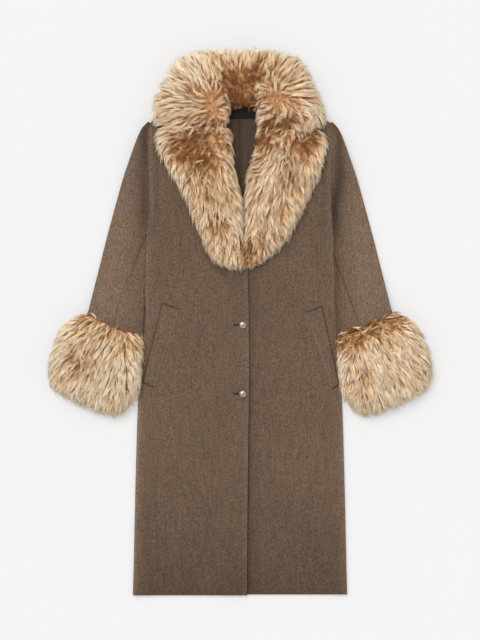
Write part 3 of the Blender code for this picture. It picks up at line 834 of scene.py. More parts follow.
def crease_height(x, y):
    """Sum of the soft ridges at a place on the coat."""
    height = 0.0
    for crease in CREASES:
        turn = math.radians(crease.heading)
        along = (x - crease.x) * math.cos(turn) + (y - crease.y) * math.sin(turn)
        across = (y - crease.y) * math.cos(turn) - (x - crease.x) * math.sin(turn)
        near = bell(across - CREASE_BEND * along * along, crease.width * 0.5)
        height += crease.height * near * smooth(1.0 - abs(along) / (crease.length * 0.55))
    return height


def add_columns(shape, outs):
    """Cut columns of corners into a panel, so that its tone can change between them."""
    for out in outs:
        geometry = shape.verts[:] + shape.edges[:] + shape.faces[:]
        bmesh.ops.bisect_plane(
            shape, geom=geometry, dist=WELDED * MM, plane_co=(out * MM, 0.0, 0.0), plane_no=(1.0, 0.0, 0.0),
        )


def raise_creases(shape):
    """Lift the upper layer of cloth along its creases."""
    for corner in shape.verts:
        x, y, z = corner.co / MM
        under = lift(y) + PANEL_THICK
        corner.co.z += crease_height(x, y) * smooth((z - under) / LAYER_STEP) * MM


def close_seam(shape):
    """Bring a back panel's inner edge to the middle line, where the two are sewn together."""
    for corner in shape.verts:
        if abs(corner.co.x) < SEAM_REACH * MM:
            corner.co.x *= SEAM_CLOSED


def close_to_body(shape):
    """Press a sleeve's inner fold against the body's side edge."""
    for corner in shape.verts:
        x, y, _ = corner.co / MM
        outside = abs(x) - body_edge(y)
        if 0.0 < outside < PRESSED and y < UNDERARM_Y:
            share = outside / PRESSED
            pressed = outside * (0.2 + 0.8 * share) - PRESSED_IN * (1.0 - share)
            corner.co.x = math.copysign((body_edge(y) + pressed) * MM, x)


def front_edge(y):
    """Where the upper front ends: its edge hangs a little out of line."""
    return OVERLAP + float(np.interp(y, BEND_YS, BENDS)) if y < BREAK_Y else OVERLAP


def bend_front(shape):
    """Move the upper front's edge to where it hangs."""
    for corner in shape.verts:
        x, y, _ = corner.co / MM
        corner.co.x += (front_edge(y) - OVERLAP) * smooth((x - OVERLAP + BENT_WIDTH) / BENT_WIDTH) * MM


def body_tone(x, y, under=False):
    """Painted shade to the hem and in the armholes, painted shadow by the front edge and below the lapels,
    painted highlights along the edges.
    """
    side = -1 if x < 0.0 else 1
    low = max(0.0, -(y + 330.0) / 320.0)
    # Painted shade, deepening towards the hem
    tone = BODY_TONE - HEM_SHADE * low ** 1.3
    # Painted light on the left side of the body
    glow = smooth((y + 330.0) / 150.0) * smooth((120.0 - y) / 120.0)
    tone += LEFT_PAINTED_LIGHT * smooth((-x - 130.0) / 60.0) * glow
    beyond = x - front_edge(y)
    # Painted shadow of the upper front's edge on the front beneath it
    if y < BREAK_Y and under:
        line = 0.10 + 0.20 * smooth((60.0 - y) / 300.0) - 0.24 * smooth((-440.0 - y) / 130.0)
        tone -= line * bell(beyond, 4.0) + FRONT_SHADE * math.exp(-max(0.0, beyond) / 18.0)
    elif y < BREAK_Y:
        # Painted highlight along the upper front's edge
        tone += FRONT_HIGHLIGHT * bell(beyond + 5.5, 4.0)
    # Painted highlight along the side edges
    inside = max(0.0, body_edge(y) - abs(x))
    rim = SIDE_HIGHLIGHTS[side] * (1.0 + smooth((-60.0 - y) / 120.0))
    tone += rim * math.exp(-inside / 8.0) * smooth((240.0 - y) / 60.0)
    # Painted shadow of the lapels on the cloth below their ends
    below_lapels = y - LAPEL_END_Y - 0.010 * (x - LAPEL_END_X) ** 2
    tone -= LAPEL_SHADE * bell(below_lapels, 9.0) * smooth((90.0 - abs(x - LAPEL_END_X)) / 40.0)
    # Painted highlight just inside the armhole
    tone += ARMHOLE_HIGHLIGHTS[side] * bell(inside - 8.0, 5.0) * smooth((y - 240.0) / 60.0)
    # Painted shade further inside the armhole
    return tone - ARMHOLE_SHADE * bell(inside - 19.0, 7.0) * smooth((y - 150.0) / 120.0)


def off_line(point, start, end):
    """Distance of a point from a line through two places."""
    east = end[0] - start[0]
    north = end[1] - start[1]
    return abs(east * (point[1] - start[1]) - north * (point[0] - start[0])) / math.dist(start, end)


def welt_tone(x, y):
    """Painted shade along a welt's ends and its outer edge, where the pocket opens, and a painted highlight
    along its pressed inner edge.
    """
    corners = WELTS[-1 if x < 0.0 else 1]
    point = (abs(x), y)
    ends = zip(corners, corners[1:] + corners[:1])
    top, inner, bottom, outer = (off_line(point, start, end) for start, end in ends)
    tone = body_tone(x, y)
    tone *= 1.0 - WELT_END_SHADE * bell(min(top, bottom), 2.4)
    tone *= 1.0 - WELT_SEAM_SHADE * bell(outer, 2.2)
    return tone * (1.0 + WELT_HIGHLIGHT * bell(inner, 2.6))


def press_welt(shape):
    """Lay a welt's inner edge down onto the front."""
    for corner in shape.verts:
        corners = WELTS[-1 if corner.co.x < 0.0 else 1]
        inner = off_line((abs(corner.co.x) / MM, corner.co.y / MM), corners[1], corners[2])
        corner.co.z -= WELT_PRESSED * bell(inner, 9.0) * MM


def sleeve_tone(x, y):
    """Painted light outwards, painted shade beside the body, and a dark line of painted shade along the front
    seam.
    """
    side = -1 if x < 0.0 else 1
    outside = max(0.0, abs(x) - body_edge(y))
    places, middles, widths, depths = zip(*SLEEVE_SHADES[side])
    middle, width, depth = (np.interp(y, places, values) for values in (middles, widths, depths))
    # Painted light, growing towards the sleeve's outer edge
    tone = SLEEVE_TONE + SLEEVE_PAINTED_LIGHT * smooth((outside - 12.0) / 60.0)
    tone -= depth * bell(outside - middle, width)
    # Painted shade along the sleeve's front seam
    for start, end in zip(SLEEVE_SEAMS[side], SLEEVE_SEAMS[side][1:]):
        if end[1] < y <= start[1]:
            share = (start[1] - y) / (start[1] - end[1])
            tone -= SLEEVE_SEAM_SHADE * bell(abs(x) - start[0] - (end[0] - start[0]) * share, 2.6)
    return tone


def cloth_tones(shape, panel):
    """Tone of the wool at each corner; seams and edges get painted shade, darker than the faces beside them.
    """
    shape.normal_update()
    tones = []
    for corner in shape.verts:
        x, y, _ = corner.co / MM
        if panel.node.startswith("sleeve"):
            tone = sleeve_tone(x, y)
        elif panel.node.startswith("welt"):
            tone = welt_tone(x, y)
        # Inside the neck the back panels get painted shade
        elif panel.node.startswith("back") and y > NECK_START_Y:
            tone = NECK_SHADE_TONE
        else:
            tone = body_tone(x, y, panel.node == "front_under")
        # Painted shade on rims, where the surface turns away from straight up, lighter where a sleeve lies
        # against the body
        rim = 1.0 - smooth((abs(corner.normal.z) - 0.35) / 0.55)
        touching = abs(abs(x) - body_edge(y)) < 8.0 and -30.0 < y < UNDERARM_Y
        if not panel.node.startswith("welt"):
            tone *= 1.0 - (TOUCHING_SHADE if touching else RIM_SHADE) * rim
        tones.append(panel.tone * tone)
    return tones


def make_cloth(panel, settings):
    """A panel of wool cloth on its solid's form, with soft edges and creases."""
    shape = subdivided(merged_copy(panel.node), 2, True)
    rims = [edge for edge in shape.edges if edge.calc_face_angle(0.0) > FOLD_ANGLE]
    bmesh.ops.bevel(
        shape, geom=rims, offset=ROUNDING * MM, offset_type="OFFSET", segments=2, profile=0.5,
        affect="EDGES", material=-1, clamp_overlap=True,
    )
    raise_creases(shape)
    if panel.node.startswith("back"):
        close_seam(shape)
    if panel.node == "front_over":
        add_columns(shape, OVER_COLUMNS)
        bend_front(shape)
    if panel.node == "front_under":
        add_columns(shape, UNDER_COLUMNS)
    if panel.node.startswith("sleeve"):
        close_to_body(shape)
    if panel.node.startswith("welt"):
        press_welt(shape)
    tones = cloth_tones(shape, panel)
    piece = place(f"{panel.node}_wool", shape, material_for("brushed_wool", settings), 60.0)
    add_values(piece.data, "tone", tones)
    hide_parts(panel.node)
    return piece


def lay_between(table, x, y):
    """Direction, length and darkness of the hair at a place, blended between the table's rows."""
    total = 0.0
    east = 0.0
    north = 0.0
    length = 0.0
    dark = 0.0
    for row_x, row_y, heading, row_length, row_dark in table:
        gap = (x - row_x) ** 2 + (y - row_y) ** 2 + LAY_REACH ** 2
        weight = 1.0 / (gap * gap * gap)
        turn = math.radians(heading)
        total += weight
        east += weight * math.cos(turn)
        north += weight * math.sin(turn)
        length += weight * row_length
        dark += weight * row_dark
    return math.atan2(north, east), length / total, dark / total


def lay_across(table):
    """Hair that is described by its place on the coat."""
    def find(x, y):
        turn, length, dark = lay_between(table, x, y)
        return Vector((math.cos(turn), math.sin(turn), 0.0)), length, dark
    return find


def lay_along(side):
    """Hair that is described along a cuff."""
    down_axis = Vector((side * math.sin(CUFF_LEAN), -math.cos(CUFF_LEAN), 0.0))
    out_axis = Vector((side * math.cos(CUFF_LEAN), math.sin(CUFF_LEAN), 0.0))

    def find(x, y):
        along, away = to_cuff(side, x, y)
        turn, length, dark = lay_between(CUFF_LAYS[side], along, away)
        return down_axis * math.cos(turn) + out_axis * math.sin(turn), length, dark
    return find


def lock_path(tree, start, find_lay, stray, rise):
    """Places and normals along one lock, combed over the form and leaving it at the tip."""
    here = start
    points = []
    normals = []
    heading, length, dark = find_lay(start.x / MM, start.y / MM)
    length *= stray.length
    step = length * MM / (PATH_STEPS - 1)
    for index in range(PATH_STEPS):
        spot, normal, _, _ = tree.find_nearest(here)
        share = index / (PATH_STEPS - 1)
        points.append(spot.lerp(here, 0.75 * share * share) + normal * rise * share * MM)
        normals.append(normal)
        wish, _, _ = find_lay(here.x / MM, here.y / MM)
        wish = Vector((
            wish.x * math.cos(stray.turn) - wish.y * math.sin(stray.turn),
            wish.x * math.sin(stray.turn) + wish.y * math.cos(stray.turn),
            -0.22 - stray.droop * share,
        ))
        forward = wish - normal * wish.dot(normal)
        forward.normalize()
        here = spot + forward * step if index < 3 else here + (forward + wish.normalized() * 0.6) / 1.6 * step
    return points, normals, length, dark


Stray = namedtuple("Stray", "length turn droop")


def scatter(mesh, count, keep, chance):
    """Evenly spread places on a mesh."""
    mesh.calc_loop_triangles()
    corners = np.array([vertex.co for vertex in mesh.vertices])
    triangles = np.array([triangle.vertices for triangle in mesh.loop_triangles])
    first, second, third = (corners[triangles[:, index]] for index in range(3))
    cross = np.cross(second - first, third - first)
    areas = np.linalg.norm(cross, axis=1) / 2.0
    normals = cross / np.maximum(2.0 * areas[:, None], 1e-12)
    middles = (first + second + third) / 3.0
    kept = np.array([keep(middle / MM, normal) for middle, normal in zip(middles, normals)])
    areas = areas * kept
    picks = chance.choice(len(areas), size=count * 14, p=areas / areas.sum())
    one = np.sqrt(chance.random(len(picks)))[:, None]
    two = chance.random(len(picks))[:, None]
    spots = first[picks] * (1.0 - one) + second[picks] * one * (1.0 - two) + third[picks] * one * two
    gap = LOCK_SPACING * math.sqrt(areas.sum() / count)
    taken = np.empty((count, 3))
    found = 0
    for spot in spots:
        if found and np.min(np.sum((taken[:found] - spot) ** 2, axis=1)) < gap * gap:
            continue
        taken[found] = spot
        found += 1
        if found == count:
            break
    return taken[:found]


def swollen_form(node):
    """The fur's smooth form, a little larger than its solid."""
    form = subdivided(merged_copy(node), 2, False)
    form.normal_update()
    for corner in form.verts:
        corner.co += corner.normal * FORM_SWELL * MM
        x, y, _ = corner.co / MM
        near = smooth((CUFF_INNER_OUT - abs(x)) / CUFF_NEARER_REACH) if node.startswith("cuff") else 0.0
        corner.co.x -= math.copysign(CUFF_NEARER * near * MM, x)
        sink = TOP_SINK * (0.35 + 0.65 * bell(x, 100.0))
        corner.co.y -= sink * smooth((y - TOP_SINK_START) / TOP_SINK_REACH) * MM
    form.normal_update()
    return form


def at_seam(middle):
    """Whether a place is on the seam's own walls, between the collar and a lapel."""
    x, y = middle[0], middle[1]
    seam = SEAM_YS[-1 if x < 0.0 else 1]
    return abs(y - seam) < SEAM_WALL and abs(x) < NOTCH_START


def combed_form(nodes):
    """One surface of several furs for the hair to lie on, without the walls of the seams between them."""
    joined = bmesh.new()
    for node in nodes:
        form = swollen_form(node)
        walls = [
            face for face in form.faces
            if len(nodes) > 1 and abs(face.normal.y) > SEAM_FACING and at_seam(face.calc_center_median() / MM)
        ]
        bmesh.ops.delete(form, geom=walls, context="FACES")
        mesh = bpy.data.meshes.new("form")
        form.to_mesh(mesh)
        form.free()
        joined.from_mesh(mesh)
        bpy.data.meshes.remove(mesh)
    tree = BVHTree.FromBMesh(joined)
    joined.free()
    return tree


def vectors_between(share, steps, values):
    """Vectors at several shares of a path, from those at its steps."""
    return np.stack([np.interp(share, steps, values[:, axis]) for axis in range(3)], axis=1)


def grow_hair(node, tree, find_lay, keep, ground, locks, hairs, seed, settings, rise_range=LOOSE_RISE):
    """One joined mesh of tapered hairs, gathered in locks that lie over each other."""
    chance = np.random.default_rng(seed)
    form = swollen_form(node)
    mesh = bpy.data.meshes.new("form")
    form.to_mesh(mesh)
    form.free()
    starts = scatter(mesh, locks, keep, chance)
    bpy.data.meshes.remove(mesh)
    steps = np.linspace(0.0, 1.0, PATH_STEPS)
    ring_turns = np.arange(HAIR_SIDES) * 2.0 * math.pi / HAIR_SIDES
    all_points = []
    all_ripeness = []
    all_tones = []
    for start in starts:
        dark = find_lay(start[0] / MM, start[1] / MM)[2]
        mess = MESS + DARK_MESS * max(0.0, dark - MESSY_FROM)
        reach = chance.uniform(*REACHES) * (LONG_REACH if chance.random() < LONG_CHANCE else 1.0)
        stray = Stray(reach, chance.normal(0.0, mess), chance.uniform(*DROOPS))
        rise = chance.uniform(*rise_range)
        points, normals, length, dark = lock_path(tree, Vector(start), find_lay, stray, rise)
        dark += chance.normal(0.0, DARK_SPREAD)
        points = np.array(points)
        normals = np.array(normals)
        ahead = np.gradient(points, axis=0)
        ahead /= np.maximum(np.linalg.norm(ahead, axis=1, keepdims=True), 1e-9)
        sides = np.cross(ahead, normals)
        sides /= np.maximum(np.linalg.norm(sides, axis=1, keepdims=True), 1e-9)
        ups = np.cross(sides, ahead)
        width = chance.uniform(*LOCK_WIDTHS)
        lock_tone = chance.normal(0.0, LOCK_TONE_SPREAD)
        begin = chance.uniform(*HAIR_STARTS, hairs)
        end = chance.uniform(*HAIR_ENDS, hairs)
        across = chance.uniform(-1.0, 1.0, hairs)
        level = chance.uniform(-1.0, 1.0, hairs)
        wave = chance.uniform(0.0, 2.0 * math.pi, hairs)
        sway = chance.normal(0.0, SWAY_SPREAD, hairs)
        girth = chance.choice(HAIR_GIRTHS, size=hairs, p=GIRTH_CHANCES)
        tone = np.clip(0.5 + lock_tone + chance.normal(0.0, HAIR_TONE_SPREAD, hairs), 0.0, 1.0)
        ring_centres = []
        for ring in range(HAIR_RINGS + 1):
            share = begin + (end - begin) * ring / HAIR_RINGS
            spot, side, up = (vectors_between(share, steps, values) for values in (points, sides, ups))
            half = width * (LOCK_TIP_HALF + (LOCK_HALF - LOCK_TIP_HALF) * (1.0 - share) ** 0.8)
            depth = settings.root_depth * (1.0 - share) ** 1.4
            crown = LOCK_CROWN * width * np.sqrt(np.maximum(0.0, 1.0 - across ** 2)) * (1.0 - share)
            drift = across * half + sway * share * share + WAVE_WIDTH * np.sin(wave + share * WAVE_TURNS)
            height = crown + level * LEVEL_HEIGHT - depth
            centre = spot + side * (drift * MM)[:, None] + up * (height * MM)[:, None]
            lowest = np.array([ground(x, y) for x, y in centre[:, :2] / MM])
            centre[:, 2] = np.maximum(centre[:, 2], (lowest + girth + 0.6 * (level + 1.0)) * MM)
            ring_centres.append((centre, side, up, share))
        shape_points = []
        ripeness = []
        for ring, (centre, side, up, share) in enumerate(ring_centres):
            # Darkness lowers the ripeness: dark roots that show and, in the back of the neck, painted shade
            loss = DARK_LOSS * dark + DEEP_LOSS * max(0.0, dark - DEEP_FROM)
            ripe = RIPE_ROOT + RIPE_RISE * share - loss + TONE_GAIN * (tone - 0.5)
            if ring == HAIR_RINGS:
                shape_points.append(centre[:, None, :])
                ripeness.append(ripe[:, None])
                continue
            radius = girth * RING_GIRTHS[ring]
            turns = ring_turns[None, :] + wave[:, None]
            offset = side[:, None, :] * np.cos(turns)[:, :, None] + up[:, None, :] * np.sin(turns)[:, :, None]
            shape_points.append(centre[:, None, :] + offset * (radius * MM)[:, None, None])
            ripeness.append(np.repeat(ripe[:, None], HAIR_SIDES, axis=1))
        all_points.append(np.concatenate(shape_points, axis=1))
        ripeness = np.concatenate(ripeness, axis=1)
        all_ripeness.append(ripeness)
        all_tones.append(np.repeat(tone[:, None], ripeness.shape[1], axis=1))
    points = np.concatenate(all_points)
    flat = points.reshape(-1, 3)
    mesh = hair_mesh(f"{node}_hair", flat, len(points))
    piece = place_mesh(mesh.name, mesh, material_for("combed_hair", settings), None)
    add_values(mesh, "ripeness", np.clip(np.concatenate(all_ripeness).reshape(-1), 0.0, 1.0))
    add_values(mesh, "tone", np.concatenate(all_tones).reshape(-1))
    return piece


def hair_mesh(name, points, hairs):
    """Faces of closed hairs: rings of three corners that end in one tip."""
    corners = HAIR_RINGS * HAIR_SIDES + 1
    pattern = [tuple(reversed(range(HAIR_SIDES)))]
    for ring in range(HAIR_RINGS):
        low = ring * HAIR_SIDES
        high = low + HAIR_SIDES
        for index in range(HAIR_SIDES):
            following = (index + 1) % HAIR_SIDES
            if ring == HAIR_RINGS - 1:
                pattern.append((low + index, low + following, corners - 1))
            else:
                pattern.append((low + index, low + following, high + following, high + index))
    sizes = np.array([len(face) for face in pattern])
    corners_used = np.concatenate([np.array(face) for face in pattern])
    loops = (corners_used[None, :] + np.arange(hairs)[:, None] * corners).reshape(-1)
    totals = np.tile(sizes, hairs)
    mesh = bpy.data.meshes.new(name)
    mesh.vertices.add(len(points))
    mesh.vertices.foreach_set("co", points.reshape(-1).astype(np.float32))
    mesh.loops.add(len(loops))
    mesh.loops.foreach_set("vertex_index", loops.astype(np.int32))
    mesh.polygons.add(len(totals))
    mesh.polygons.foreach_set("loop_start", (np.cumsum(totals) - totals).astype(np.int32))
    mesh.update(calc_edges=True)
    mesh.validate()
    return mesh


def make_pelt(node, depth, settings):
    """A thin skin on the fur's form, a little inside it, that the hair grows from."""
    shape = subdivided(merged_copy(node), 1, False)
    tree = BVHTree.FromBMesh(shape)
    moves = []
    for corner in shape.verts:
        inward = -corner.normal
        _, _, _, room = tree.ray_cast(corner.co + inward * 0.0005, inward)
        move = inward * min(depth * MM, 0.24 * (room or 0.0))
        if at_seam(corner.co / MM):
            move = Vector((0.0, 0.0, -0.5 * depth * MM * smooth(corner.normal.z)))
        moves.append(move)
    for corner, move in zip(shape.verts, moves):
        corner.co += move
    bmesh.ops.smooth_vert(
        shape, verts=shape.verts, factor=0.5, use_axis_x=True, use_axis_y=True, use_axis_z=True,
    )
    piece = place(f"{node}_pelt", shape, material_for("under_wool", settings), 0.0)
    wall = piece.modifiers.new("Skin", "SOLIDIFY")
    wall.thickness = PELT_WALL * MM
    wall.offset = -1.0
    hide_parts(node)
    return piece


def over_fronts(middle, normal):
    """Fur that shows: all but what lies against the cloth, or under the back of the neck."""
    shoulder = shoulder_line(max(abs(middle[0]), NECK_HALF)) + COVERED_MARGIN
    under_back = middle[2] < COVERED_HEIGHT and middle[1] < shoulder
    seam_wall = at_seam(middle) and abs(normal[1]) > SEAM_FACING
    return normal[2] > FACING_DOWN and not under_back and not seam_wall


def round_cuff(side):
    """Fur that shows on a cuff: all but its underside and the hollow for the sleeve."""
    def keep(middle, normal):
        along, away = to_cuff(side, middle[0], middle[1])
        in_height = CUFF_HOLLOW_LOW < middle[2] < CUFF_HOLLOW_HIGH
        inside = 2.0 < along < CUFF_LENGTH and abs(away) < CUFF_HOLLOW_HALF and in_height
        upper_end = along < 5.0 and normal[2] < 0.3
        return normal[2] > CUFF_FACING_DOWN and not inside and not upper_end
    return keep


def ground_of_cuff(side):
    """What the hair of a cuff lies on."""
    return lambda x, y: sleeve_height(side, x, y)


def colour_setting(name, description, default):
    """A colour that the sidebar's user can change."""
    return FloatVectorProperty(
        name=name, description=description, subtype="COLOR", default=default, min=0.0, max=1.0,
    )


def number_setting(name, description, default, low, high, unit="NONE"):
    return FloatProperty(name=name, description=description, default=default, min=low, max=high, unit=unit)


def count_setting(name, description, default, high):
    return IntProperty(name=name, description=description, default=default, min=1, max=high)


class CoatClothSettings(PropertyGroup):
    wool_dark: colour_setting("Dark wool", "Colour of the darker fibres", (0.112, 0.0735, 0.0492))
    wool_light: colour_setting("Light wool", "Colour of the paler fibres", (0.142, 0.0948, 0.0652))
    sheen: number_setting("Sheen", "Soft shine of the brushed nap", 0.05, 0.0, 1.0)


class CoatFurSettings(PropertyGroup):
    fur_root: colour_setting("Root", "Colour of the hair at its root", (0.290, 0.117, 0.044))
    fur_low: colour_setting("Lower hair", "Colour above the root", (0.690, 0.400, 0.186))
    fur_middle: colour_setting("Middle", "Colour half way up the hair", (0.930, 0.700, 0.450))
    fur_tip: colour_setting("Tip", "Colour of the hair at its tip", (0.990, 0.880, 0.700))
    root_depth: number_setting("Root depth", "How deep the roots lie, in millimetres", 6.5, 1.0, 20.0)
    pelt_depth: number_setting("Skin depth", "How deep the skin lies, in millimetres", 7.5, 1.0, 20.0)
    collar_locks: count_setting("Collar locks", "Number of locks on the collar", 1100, 1500)
    lapel_locks: count_setting("Lapel locks", "Number of locks on each lapel", 720, 1500)
    cuff_locks: count_setting("Cuff locks", "Number of locks on each cuff", 900, 1500)
    hairs: count_setting("Hairs in a lock", "Number of hairs in each lock", 11, 60)


class CoatTrimSettings(PropertyGroup):
    metal: colour_setting("Button metal", "Colour of the buttons", (0.400, 0.365, 0.300))
    label: colour_setting("Label", "Colour of the neck label", (0.010, 0.008, 0.007))
    button_radius: number_setting("Button radius", "Half the button's width", 0.00875, 0.004, 0.015, "LENGTH")


class CoatStageSettings(PropertyGroup):
    floor: colour_setting("Floor", "Colour of the floor", (0.480, 0.480, 0.480))
    floor_glow: number_setting("Floor glow", "How much the floor lights itself", 0.293, 0.0, 1.0)
    key_strength: number_setting("Key light", "Strength of the main light", 1.8, 0.0, 10.0)
    sky_strength: number_setting("Sky light", "Strength of the light from all round", 0.83, 0.0, 5.0)


class COAT_OT_cloth(Operator):
    """Make the wool panels, sleeves and pocket welts"""
    bl_idname = "coat.cloth"
    bl_label = "Wool Cloth"

    def execute(self, context):
        for panel in CLOTH_PANELS:
            piece = make_cloth(panel, context.scene.coat_cloth)
        return {"FINISHED"}


class COAT_OT_collar(Operator):
    """Make the fur collar and the two fur lapels"""
    bl_idname = "coat.collar"
    bl_label = "Fur Collar and Lapels"

    def execute(self, context):
        fur = context.scene.coat_fur
        tree = combed_form(("collar_fur", "lapel_fur_left", "lapel_fur_right"))
        pelt = make_pelt("collar_fur", fur.pelt_depth, fur)
        hair = grow_hair(
            "collar_fur", tree, lay_across(COLLAR_LAY), over_fronts, cloth_height,
            fur.collar_locks, fur.hairs, COLLAR_SEED, fur,
        )
        for side, name in ((-1, "left"), (1, "right")):
            node = f"lapel_fur_{name}"
            pelt = make_pelt(node, fur.pelt_depth, fur)
            hair = grow_hair(
                node, tree, lay_across(LAPEL_LAYS[side]), over_fronts, cloth_height,
                fur.lapel_locks, fur.hairs, LAPEL_SEED + side, fur,
            )
        return {"FINISHED"}


class COAT_OT_cuffs(Operator):
    """Make the fur cuffs"""
    bl_idname = "coat.cuffs"
    bl_label = "Fur Cuffs"

    def execute(self, context):
        fur = context.scene.coat_fur
        for side, name in ((-1, "left"), (1, "right")):
            node = f"cuff_fur_{name}"
            pelt = make_pelt(node, fur.pelt_depth, fur)
            hair = grow_hair(
                node, combed_form((node,)), lay_along(side), round_cuff(side), ground_of_cuff(side),
                fur.cuff_locks, fur.hairs, CUFF_SEED + side, fur, CUFF_RISE,
            )
        return {"FINISHED"}


class COAT_OT_buttons(Operator):
    """Make the two metal buttons and the stitched buttonholes"""
    bl_idname = "coat.buttons"
    bl_label = "Buttons and Buttonholes"

    def execute(self, context):
        trim = context.scene.coat_trim
        for name, (x, y) in BUTTONS.items():
            make_button(name, x, y, trim)
            make_buttonhole(name, y)
        return {"FINISHED"}


class COAT_OT_label(Operator):
    """Make the bare neck label and its stitches"""
    bl_idname = "coat.label"
    bl_label = "Neck Label"

    def execute(self, context):
        make_label(context.scene.coat_trim)
        return {"FINISHED"}


class COAT_OT_stage(Operator):
    """Make the floor, the lights and the camera"""
    bl_idname = "coat.stage"
    bl_label = "Stage"

    def execute(self, context):
        make_stage(context.scene, context.scene.coat_stage)
        return {"FINISHED"}


def make_button(name, x, y, trim):
    """A turned button: a low dome inside a rounded rim, on its shank."""
    low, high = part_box(name)
    radius = trim.button_radius
    profile = [(radius * share, high.z - drop * MM) for share, drop in BUTTON_PROFILE]
    profile.append((SHANK_TOP_RADIUS * MM, high.z - BUTTON_DOME * MM))
    profile += [(SHANK_RADIUS * MM, low.z), (0.0, low.z)]
    shape = bmesh.new()
    corners = [shape.verts.new((x * MM + out, y * MM, height)) for out, height in profile]
    for first, second in zip(corners, corners[1:]):
        shape.edges.new((first, second))
    centre = Vector((x * MM, y * MM, 0.0))
    geometry = shape.verts[:] + shape.edges[:]
    bmesh.ops.spin(
        shape, geom=geometry, cent=centre, axis=(0.0, 0.0, 1.0), angle=2.0 * math.pi, steps=BUTTON_STEPS,
        use_merge=True, use_duplicate=False,
    )
    bmesh.ops.remove_doubles(shape, verts=shape.verts, dist=0.00001)
    bmesh.ops.recalc_face_normals(shape, faces=shape.faces)
    piece = place(f"{name}_metal", shape, material_for("pale_button_metal", trim), 40.0)
    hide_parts(name)


def make_buttonhole(name, y):
    """Worked stitches side by side round the slit, which ends in a round eye."""
    front_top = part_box(name)[1].z / MM - BUTTON_DOME - STITCH_SINK
    shape = bmesh.new()
    places = []
    for index in range(SLIT_STITCHES):
        across = SLIT_START + 2.0 + index
        for sign in (-1.0, 1.0):
            places.append((across, sign * SLIT_HALF, 90.0 * sign))
    for index in range(EYE_STITCHES):
        heading = 90.0 + 180.0 * index / (EYE_STITCHES - 1)
        turn = math.radians(heading)
        x = SLIT_START + EYE_RADIUS * (1.0 + math.cos(turn))
        places.append((x, EYE_RADIUS * math.sin(turn), heading))
    for x, offset, heading in places:
        add_stitch(shape, x, y + offset, front_top, heading, STITCH_LENGTH, STITCH_HALF)
    material = bpy.data.materials.get("buttonhole_thread") or thread_material("buttonhole_thread", THREAD)
    piece = place(f"{name}_hole_stitches", shape, material, 0.0)


def add_stitch(shape, x, y, z, turn, length, radius):
    """One raised stitch, from its inner end outwards."""
    made = bmesh.ops.create_uvsphere(shape, u_segments=6, v_segments=4, radius=1.0)["verts"]
    bmesh.ops.scale(shape, vec=Vector((length * 0.5, radius, radius)) * MM, verts=made)
    bmesh.ops.translate(shape, vec=Vector((length * 0.5 * MM, 0.0, 0.0)), verts=made)
    angle = math.radians(turn)
    for corner in made:
        east = corner.co.x
        north = corner.co.y
        corner.co.x = east * math.cos(angle) - north * math.sin(angle) + x * MM
        corner.co.y = east * math.sin(angle) + north * math.cos(angle) + y * MM
        corner.co.z += z * MM


def make_label(trim):
    """A bare woven label with folded ends, sewn down at its corners."""
    low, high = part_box("label")
    shape = merged_copy("label")
    bmesh.ops.subdivide_edges(shape, edges=shape.edges[:], cuts=7, use_grid_fill=True)
    for corner in shape.verts:
        share = (corner.co.x - low.x) / (high.x - low.x)
        corner.co.z += LABEL_SWELL * MM * math.sin(math.pi * share) * (0.6 + 0.4 * math.sin(share * 9.0))
    rims = [edge for edge in shape.edges if edge.calc_face_angle(0.0) > FOLD_ANGLE]
    bmesh.ops.bevel(
        shape, geom=rims, offset=0.0001, offset_type="OFFSET", segments=1, profile=0.5,
        affect="EDGES", material=-1,
    )
    piece = place("label_weave", shape, material_for("woven_label", trim), 50.0)
    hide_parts("label")
    stitches = bmesh.new()
    for end in (low.x / MM + LABEL_MARGIN, high.x / MM - LABEL_MARGIN):
        for index in range(LABEL_STITCHES):
            y = low.y / MM + 2.0 + index * LABEL_STITCH_STEP
            add_stitch(stitches, end, y, high.z / MM + 0.12, 90.0, 1.5, 0.22)
    sewn = place("label_stitches", stitches, thread_material("label_thread", LABEL_THREAD), 0.0)


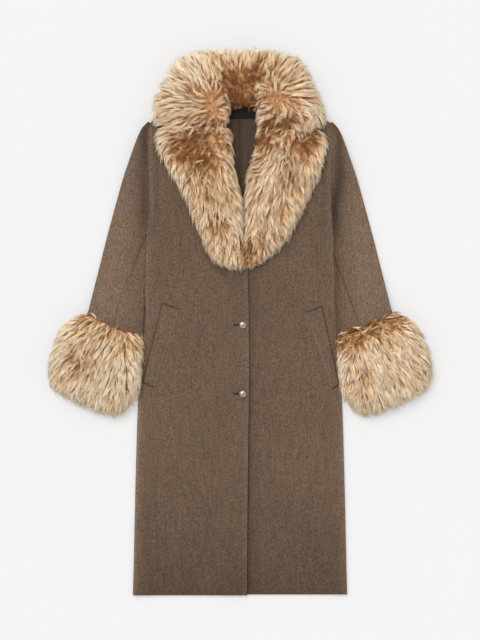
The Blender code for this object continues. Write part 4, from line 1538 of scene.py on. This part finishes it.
def make_stage(scene, stage):
    """Pale floor, a soft main light, even light all round and the camera straight above."""
    shape = bmesh.new()
    bmesh.ops.create_grid(shape, x_segments=1, y_segments=1, size=FLOOR_HALF)
    mesh = bpy.data.meshes.new("floor")
    shape.to_mesh(mesh)
    shape.free()
    floor = bpy.data.objects.new("floor", mesh)
    scene.collection.objects.link(floor)
    constants = {"Emission Color": (1.0, 1.0, 1.0, 1.0), "Emission Strength": stage.floor_glow}
    shades = Shades("pale_floor", 0.9, 0.1, constants)
    shades.shader.inputs["Base Color"].default_value = (*stage.floor, 1.0)
    mesh.materials.append(shades.material)

    world = bpy.data.worlds.new("even_light")
    world.use_nodes = True
    background = world.node_tree.nodes["Background"]
    background.inputs["Color"].default_value = (1.0, 1.0, 1.0, 1.0)
    background.inputs["Strength"].default_value = stage.sky_strength
    scene.world = world

    key = bpy.data.lights.new("key", "SUN")
    key.energy = stage.key_strength
    key.angle = KEY_SPREAD
    key_lamp = bpy.data.objects.new("key", key)
    key_lamp.rotation_euler = Vector(KEY_TOWARDS).to_track_quat("-Z", "Y").to_euler()
    scene.collection.objects.link(key_lamp)

    camera = bpy.data.cameras.new("camera")
    camera.lens = LENS
    camera.sensor_width = SENSOR
    camera.clip_end = 100.0
    eye = bpy.data.objects.new("camera", camera)
    eye.location = (0.0, PHOTO_MIDDLE_Y, SEEN_HEIGHT + PHOTO_HEIGHT * LENS / SENSOR)
    scene.collection.objects.link(eye)
    scene.camera = eye
    scene.view_settings.view_transform = "Standard"
    scene.view_settings.look = "None"


class COAT_PT_panel(Panel):
    """Lists the coat's makers"""
    bl_label = "Coat"
    bl_idname = "COAT_PT_panel"
    bl_space_type = "VIEW_3D"
    bl_region_type = "UI"
    bl_category = "Coat"

    def draw(self, context):
        for operator in OPERATORS:
            self.layout.operator(operator.bl_idname)


OPERATORS = (COAT_OT_stage, COAT_OT_cloth, COAT_OT_collar, COAT_OT_cuffs, COAT_OT_buttons, COAT_OT_label)
SETTINGS = {
    "coat_cloth": CoatClothSettings,
    "coat_fur": CoatFurSettings,
    "coat_trim": CoatTrimSettings,
    "coat_stage": CoatStageSettings,
}


def register():
    for group in SETTINGS.values():
        bpy.utils.register_class(group)
    for operator in OPERATORS:
        bpy.utils.register_class(operator)
    bpy.utils.register_class(COAT_PT_panel)
    for name, group in SETTINGS.items():
        setattr(bpy.types.Scene, name, bpy.props.PointerProperty(type=group))


def unregister():
    for name in SETTINGS:
        delattr(bpy.types.Scene, name)
    bpy.utils.unregister_class(COAT_PT_panel)
    for operator in reversed(OPERATORS):
        bpy.utils.unregister_class(operator)
    for group in reversed(tuple(SETTINGS.values())):
        bpy.utils.unregister_class(group)


def main():
    register()
    bpy.ops.coat.stage()
    bpy.ops.coat.cloth()
    bpy.ops.coat.collar()
    bpy.ops.coat.cuffs()
    bpy.ops.coat.buttons()
    bpy.ops.coat.label()


if __name__ == "__main__":
    main()
